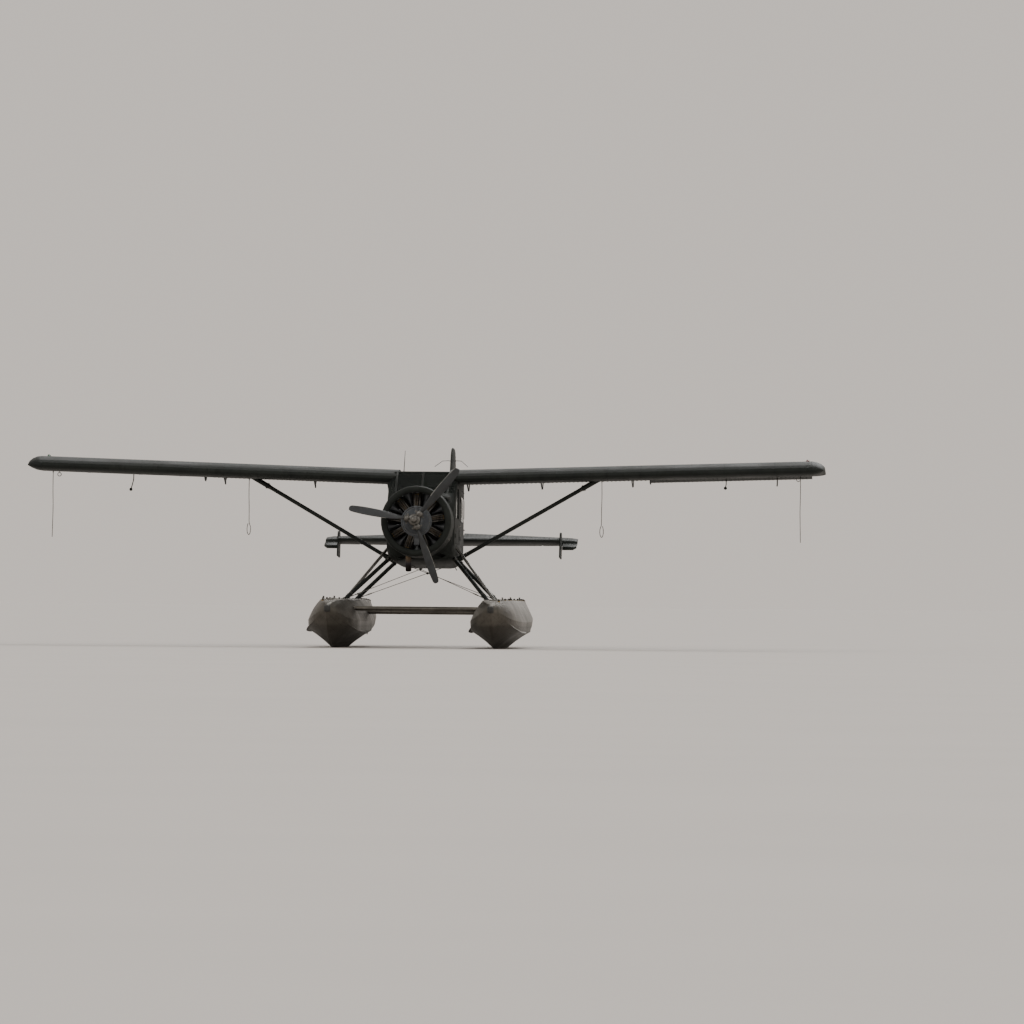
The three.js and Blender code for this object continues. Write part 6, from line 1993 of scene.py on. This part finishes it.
def buildControls():
    half, front, aft, low, high = deck["quadrant"]
    body = box(-half, half, front, aft, low, high, 0.014, 4)
    slots = [box(x - 0.006, x + 0.006, -0.800, -0.690, high - 0.003, high + 0.0015, 0.0012, 1)
             for x, _, _ in deck["levers"]]
    parts = [coated(body, finish["crackleLacquerBaked"], 30), *(coated(slot, rubber) for slot in slots)]
    for x, lean, knobFinish in deck["levers"]:
        foot = Vector((x, -0.745, high - 0.004))
        head = foot + Vector((0, lean * 0.10, 0.070))
        stem = rodBetween(foot, head, 0.0038, 12)
        knob = spunProfile([(0.0, -0.002), (0.010, 0.0), (0.0135, 0.008), (0.0135, 0.020), (0.009, 0.027),
                            (0.0, 0.029)], 24)
        knob.location = head
        parts += [coated(stem, steel, 40), coated(settle(knob), finish[knobFinish], 40)]
    finishPiece(ontoAirframe(joinParts("quadrant", parts)), "throttle_quadrant", "airframe", "panel_black",
                stands=["instrument_panel"])

    wheel = deck["wheel"]
    centre, radius = Vector(wheel["centre"]), wheel["radius"]
    parts = [smoothByAngle(hoopAt(centre, radius, wheel["tube"], 64, 14), 60)]
    for degrees in (90, 210, 330):
        turn = math.radians(degrees)
        reach = Vector((math.cos(turn), 0, math.sin(turn)))
        parts.append(tubeAlong([centre + reach * 0.020, centre + reach * 0.07 + Vector((0, 0.004, 0)),
                                centre + reach * radius], 0.0075, 12))
    boss = spunProfile([(0.0, -0.012), (0.026, -0.012), (0.030, 0.0), (0.026, 0.010), (0.010, 0.015),
                        (0.0, 0.015)], 32, "Y")
    boss.matrix_world = Matrix.Translation(centre) @ Matrix.Rotation(math.pi, 4, "Z") @ boss.matrix_world
    parts.append(smoothByAngle(settle(boss), 40))
    finishPiece(ontoAirframe(joinParts("wheel", parts)), "control_wheel", "airframe", "panel_black",
                rubber)
    column = tubeAlong([Vector(p) for p in deck["column"]], 0.0165, 16)
    finishPiece(ontoAirframe(column), "control_column", "airframe", "steel", greyCasting)

    station, low = deck["pedals"]["foot"]
    parts = []
    for x in deck["pedals"]["across"]:
        pad = box(x - 0.036, x + 0.036, -0.006, 0.006, 0.075, 0.170, 0.0045, 3)
        ribs = [tubeAlong([(x - 0.028, 0.0068, z), (x + 0.028, 0.0068, z)], 0.0022, 6)
                for z in (0.095, 0.110, 0.125, 0.140, 0.155)]
        arm = rodBetween((x, 0.0, 0.0), (x, 0.0, 0.10), 0.0075, 12)
        for part in (smoothByAngle(pad, 35), smoothByAngle(arm, 40), *ribs):
            tilt = Matrix.Rotation(math.radians(22), 4, "X")
            part.matrix_world = Matrix.Translation((0, station, low)) @ tilt @ part.matrix_world
            parts.append(settle(part))
    bar = rodBetween((-0.43, station, low + 0.012), (0.43, station, low + 0.012), 0.010, 14)
    parts.append(smoothByAngle(bar, 40))
    finishPiece(ontoAirframe(joinParts("pedals", parts)), "rudder_pedals", "airframe", "steel",
                greyCasting)

    half, front, rear, low, high, ribs = deck["mat"]
    mat = box(-half, half, front, rear, low, high, 0.0024, 2)
    strips = []
    for i in range(ribs):
        x = -half + 0.03 + (2 * half - 0.06) * i / (ribs - 1)
        strips.append(tubeAlong([(x, y, high - 0.0004) for y in (front + 0.03, rear - 0.03)], 0.0026, 6))
    mat = joinParts("mat", [smoothByAngle(mat, 35), *strips])
    finishPiece(ontoAirframe(mat), "cabin_floor_mat", "airframe", "panel_black", rubber)
    print("flight deck fitted")


buildPanel()
buildControls()


# Smaller things on the wing: hinge fairings, pitot head, fillers and inspection plates
wingTrim = {
    "fairing": {"across": 4.107, "from": 0.300, "to": 0.690, "drop": 0.095, "half": 0.016},
    "pitot": {"across": 6.450, "station": 0.020, "drop": 0.165, "reach": 0.300, "radius": 0.0095},
    "filler": {"across": 1.650, "station": 0.520, "radius": 0.048},
    "plates": [(1.30, 0.57), (2.20, 0.57), (3.10, 0.57), (4.55, 0.57), (5.30, 0.57), (6.25, 0.57)],
    "plateRadius": 0.062,
}


def alongWing(side, across, station):
    inWing = wingPlace(side) @ Vector((side * across, station, 0))
    return inWing.x, inWing.y


def overWing(side, across, station):
    wing = "wing_left" if side > 0 else "wing_right"
    return onSurface(wing, (*alongWing(side, across, station), 6), (0, 0, -1))


def hingeFairing(side):
    # thin streamlined drop under the wing round the aileron's inner hinge
    fairing = wingTrim["fairing"]
    start, end, drop, half = fairing["from"], fairing["to"], fairing["drop"], fairing["half"]
    rings = []
    for t, deep, wide in ((0.0, 0.06, 0.15), (0.10, 0.42, 0.62), (0.32, 0.86, 1.0), (0.55, 1.0, 0.92),
                          (0.78, 0.72, 0.62), (1.0, 0.22, 0.16)):
        top = underWing(side, fairing["across"], start + t * (end - start))
        ring = [top + Vector((half * wide * math.sin(a), 0, -drop * deep * (0.5 - 0.5 * math.cos(a)) + 0.012))
                for a in (math.radians(30 * k) for k in range(12))]
        rings.append(ring)
    return smoothByAngle(extrudedThrough(rings), 60)


def pitotHead(side):
    pitot = wingTrim["pitot"]
    radius, reach = pitot["radius"], pitot["reach"]
    foot = underWing(side, pitot["across"], pitot["station"])
    elbow = foot + Vector((0, -0.02, -pitot["drop"]))
    mast = tubeAlong([foot + Vector((0, 0, 0.010)), foot + Vector((0, -0.006, -pitot["drop"] * 0.7)),
                      elbow + Vector((0, -0.035, -0.004))], radius * 1.25, 14)
    head = rodBetween(elbow + Vector((0, 0.03, 0)), elbow + Vector((0, -reach, 0)), radius, 18, radius * 0.72)
    tube = rodBetween(elbow + Vector((0, -reach + 0.002, 0)), elbow + Vector((0, -reach - 0.03, 0)),
                      radius * 0.55, 14, radius * 0.45)
    flange = rodBetween(foot + Vector((0, 0, 0.006)), foot + Vector((0, 0, -0.004)), 0.030, 24, 0.026)
    return joinParts("pitotHead", [smoothByAngle(p, 45) for p in (mast, head, tube, flange)])


def inspectionPlate(side, across, station):
    # a round cover with eight screws, let into the lower skin
    place, other = underWing(side, across, station), underWing(side, across, station + 0.05)
    slope = math.atan2(other.z - place.z, other.y - place.y)
    radius = wingTrim["plateRadius"]
    plate = spunProfile([(0.0, -0.004), (radius, -0.004), (radius, 0.0012), (radius - 0.003, 0.0026),
                         (0.0, 0.0026)], 32)
    inner = radius - 0.012
    screws = [rodBetween((inner * math.cos(a), inner * math.sin(a), 0.001),
                         (inner * math.cos(a), inner * math.sin(a), 0.0042), 0.0042, 8, 0.0034)
              for a in (math.radians(45 * k) for k in range(8))]
    whole = joinParts("plate", [smoothByAngle(plate, 35), *screws])
    below = Matrix.Rotation(slope, 4, "X") @ Matrix.Diagonal((1, 1, -1, 1))
    whole.matrix_world = Matrix.Translation(place) @ below
    return turnOut(settle(whole))


def buildWingTrim():
    for name, side in sides.items():
        finishPiece(hingeFairing(side), f"aileron_hinge_fairing_{name}", "airframe", "painted_skin", wingEnamel)
        plates = [inspectionPlate(side, across, station) for across, station in wingTrim["plates"]]
        finishPiece(joinParts("plates", plates), f"wing_inspection_plates_{name}", "airframe", "painted_skin",
                    wingEnamel)
        filler = wingTrim["filler"]
        spot = overWing(side, filler["across"], filler["station"])
        cap = spunProfile([(0.0, -0.006), (filler["radius"] + 0.014, -0.006), (filler["radius"] + 0.014, 0.002),
                           (filler["radius"], 0.004), (filler["radius"], 0.010),
                           (filler["radius"] - 0.006, 0.014), (0.0, 0.015)], 36)
        grip = box(-0.030, 0.030, -0.0045, 0.0045, 0.010, 0.026, 0.003, 2)
        cap = joinParts("cap", [smoothByAngle(cap, 35), smoothByAngle(grip, 35)])
        cap.location = spot
        finishPiece(settle(cap), f"wing_filler_cap_{name}", "airframe", "steel", greyCasting)
    finishPiece(pitotHead(sides["left"]), "pitot_head", "airframe", "steel", steel)


buildWingTrim()
print("wing trim fitted")


# Rolled stiffening beads on the moving surfaces, drawn at 8 mm where real ones are 6 mm so that they show
beads = {
    "radius": 0.008, "pitch": 0.078, "stations": (0.812, 0.978, 1.116),
    "spans": {"flap": (0.790, 4.000), "aileron": (4.150, 6.980)},
    "elevator": {"hinge": 5.900, "height": 0.770, "up": 20, "inner": 0.270, "outer": 2.300, "root": 0.600,
                 "tip": 0.345, "count": 24},
    "rudder": {"hinge": 6.150, "low": 0.600, "high": 2.440, "count": 24,
               "trailing": [(0.47, 6.500), (0.56, 6.790), (0.82, 6.850), (1.40, 6.820), (2.38, 6.640),
                            (2.53, 6.570)]},
}


def beadsUnderSkin(node, side, span):
    # one bead below and one above, each repeated along the span
    first, last = span
    count = int((last - first) / beads["pitch"]) + 1
    step = wingPlace(side).to_3x3() @ Vector((side * beads["pitch"], 0, 0))
    rows = []
    for start, way in ((0.5, 1), (6, -1)):
        line = [onSurface(node, (*alongWing(side, first, s), start), (0, 0, way)) for s in beads["stations"]]
        bead = tubeAlong(line, beads["radius"], 6)
        applyModifier(bead, "ARRAY", count=count, use_relative_offset=False, use_constant_offset=True,
                      constant_offset_displace=step)
        rows.append(bead)
    return joinParts("beads", rows)


def buildBeads():
    for name, side in sides.items():
        for kind, span in beads["spans"].items():
            finishPiece(beadsUnderSkin(f"{kind}_{name}", side, span), f"{kind}_beads_{name}", f"{kind}_{name}",
                        "painted_skin", wingEnamel)
        elevator = beads["elevator"]
        lean = math.cos(math.radians(elevator["up"]))
        rows = []
        for i in range(elevator["count"]):
            t = i / (elevator["count"] - 1)
            across = elevator["inner"] + t * (elevator["outer"] - elevator["inner"])
            chord = elevator["root"] + t * (elevator["tip"] - elevator["root"])
            for start, way in ((0.5, 1), (6, -1)):
                line = []
                for share in (0.16, 0.55, 0.90):
                    place = airframePlace @ Vector((side * across, elevator["hinge"] + chord * share * lean,
                                                    elevator["height"]))
                    line.append(onSurface(f"elevator_{name}", (place.x, place.y, start), (0, 0, way)))
                rows.append(tubeAlong(line, beads["radius"] * 0.8, 6))
        finishPiece(joinParts("beads", rows), f"elevator_beads_{name}", f"elevator_{name}", "painted_skin",
                    tailEnamel)

    rudder = beads["rudder"]
    rows = []
    for i in range(rudder["count"]):
        height = rudder["low"] + i * (rudder["high"] - rudder["low"]) / (rudder["count"] - 1)
        chord = eased(rudder["trailing"], height)[0] - rudder["hinge"]
        for side in (1, -1):
            line = []
            for share in (0.12, 0.5, 0.93):
                place = airframePlace @ Vector((0, rudder["hinge"] + chord * share, height))
                line.append(onSurface("rudder", (side, place.y, place.z), (-side, 0, 0)))
            rows.append(tubeAlong(line, beads["radius"] * 0.8, 6))
    finishPiece(joinParts("beads", rows), "rudder_beads", "rudder", "painted_skin", finEnamel)


# Rubber strip on the fin's rear face, which closes most of the gap before the rudder's nose
finSeal = {"low": 1.130, "high": 2.530, "behind": 6.300, "rings": 14, "half": 0.008, "thick": 0.0048}


def rudderGapSeal():
    rings = []
    half, thick = finSeal["half"], finSeal["thick"]
    forward = airframePlace.to_3x3() @ Vector((0, -1, 0))
    for height in stationsBetween(finSeal["low"], finSeal["high"], finSeal["rings"]):
        behind = airframePlace @ Vector((0, finSeal["behind"], height))
        face = (airframePlace.inverted() @ onSurface("fin", behind, forward)).y
        rings.append([(-half, face - 0.001, height), (half, face - 0.001, height),
                      (half * 0.7, face + thick, height), (-half * 0.7, face + thick, height)])
    strip = ontoAirframe(extrudedThrough(rings))
    finishPiece(smoothByAngle(strip, 30), "fin_rudder_seal", "airframe", "panel_black", rubber)


buildBeads()
rudderGapSeal()
print("stiffening beads rolled")


# Studio: a pale floor that meets its backdrop without a line, and large soft lights
studio = {
    "floor": "bfbab5", "patch": "b8b3ae", "floorHalf": 1200.0,
    "horizon": "d8d0c8", "zenith": "d6d1cb", "skyStrength": 0.945,
    # name: direction it comes from, strength, softness in degrees
    "lights": {
        "key": ((-0.55, -0.62, 0.62), 0.50, 50),
        "fill": ((0.75, -0.45, 0.35), 0.34, 70),
        "rim": ((0.25, 0.80, 0.75), 2.10, 40),
    },
}


def buildStudio():
    bpy.ops.mesh.primitive_plane_add(size=2 * studio["floorHalf"], location=(0, 0, -0.0005))
    floor = settle(bpy.context.object)
    floor.name = "studioFloor"
    material, tree, shader = startMaterial("paintedConcreteRolled", Roughness=0.95, Specular_IOR_Level=0.2)
    coordinates = addNode(tree, "ShaderNodeTexCoord").outputs["Object"]
    cloudy = addNode(tree, "ShaderNodeTexNoise", {"Vector": coordinates, "Scale": 0.35, "Detail": 4.0})
    colour = addNode(tree, "ShaderNodeMix", {
        "Factor": cloudy, "A": srgb(studio["floor"]), "B": srgb(studio["patch"])}, data_type="RGBA")
    plugIn(tree, shader, {"Base Color": colour})
    floor.data.materials.append(material)

    world = bpy.data.worlds.new("studioSky")
    world.use_nodes = True
    tree = world.node_tree
    direction = addNode(tree, "ShaderNodeTexCoord").outputs["Generated"]
    height = addNode(tree, "ShaderNodeSeparateXYZ", {"Vector": direction}).outputs["Z"]
    rise = addNode(tree, "ShaderNodeMapRange", {"Value": height, "From Min": 0.0, "From Max": 0.6})
    colour = addNode(tree, "ShaderNodeMix", {
        "Factor": rise, "A": srgb(studio["horizon"]), "B": srgb(studio["zenith"])}, data_type="RGBA")
    plugIn(tree, tree.nodes["Background"], {"Color": colour, "Strength": studio["skyStrength"]})
    bpy.context.scene.world = world

    for name, (source, strength, softness) in studio["lights"].items():
        bpy.ops.object.light_add(type="SUN", location=Vector(source) * 30)
        light = bpy.context.object
        light.name = name
        light.rotation_euler = Vector(source).to_track_quat("Z", "Y").to_euler()
        light.data.energy = strength
        light.data.angle = math.radians(softness)


buildStudio()
bpy.context.scene.view_settings.view_transform = "AgX"
bpy.context.scene.view_settings.exposure = 0.2
print("studio ready")
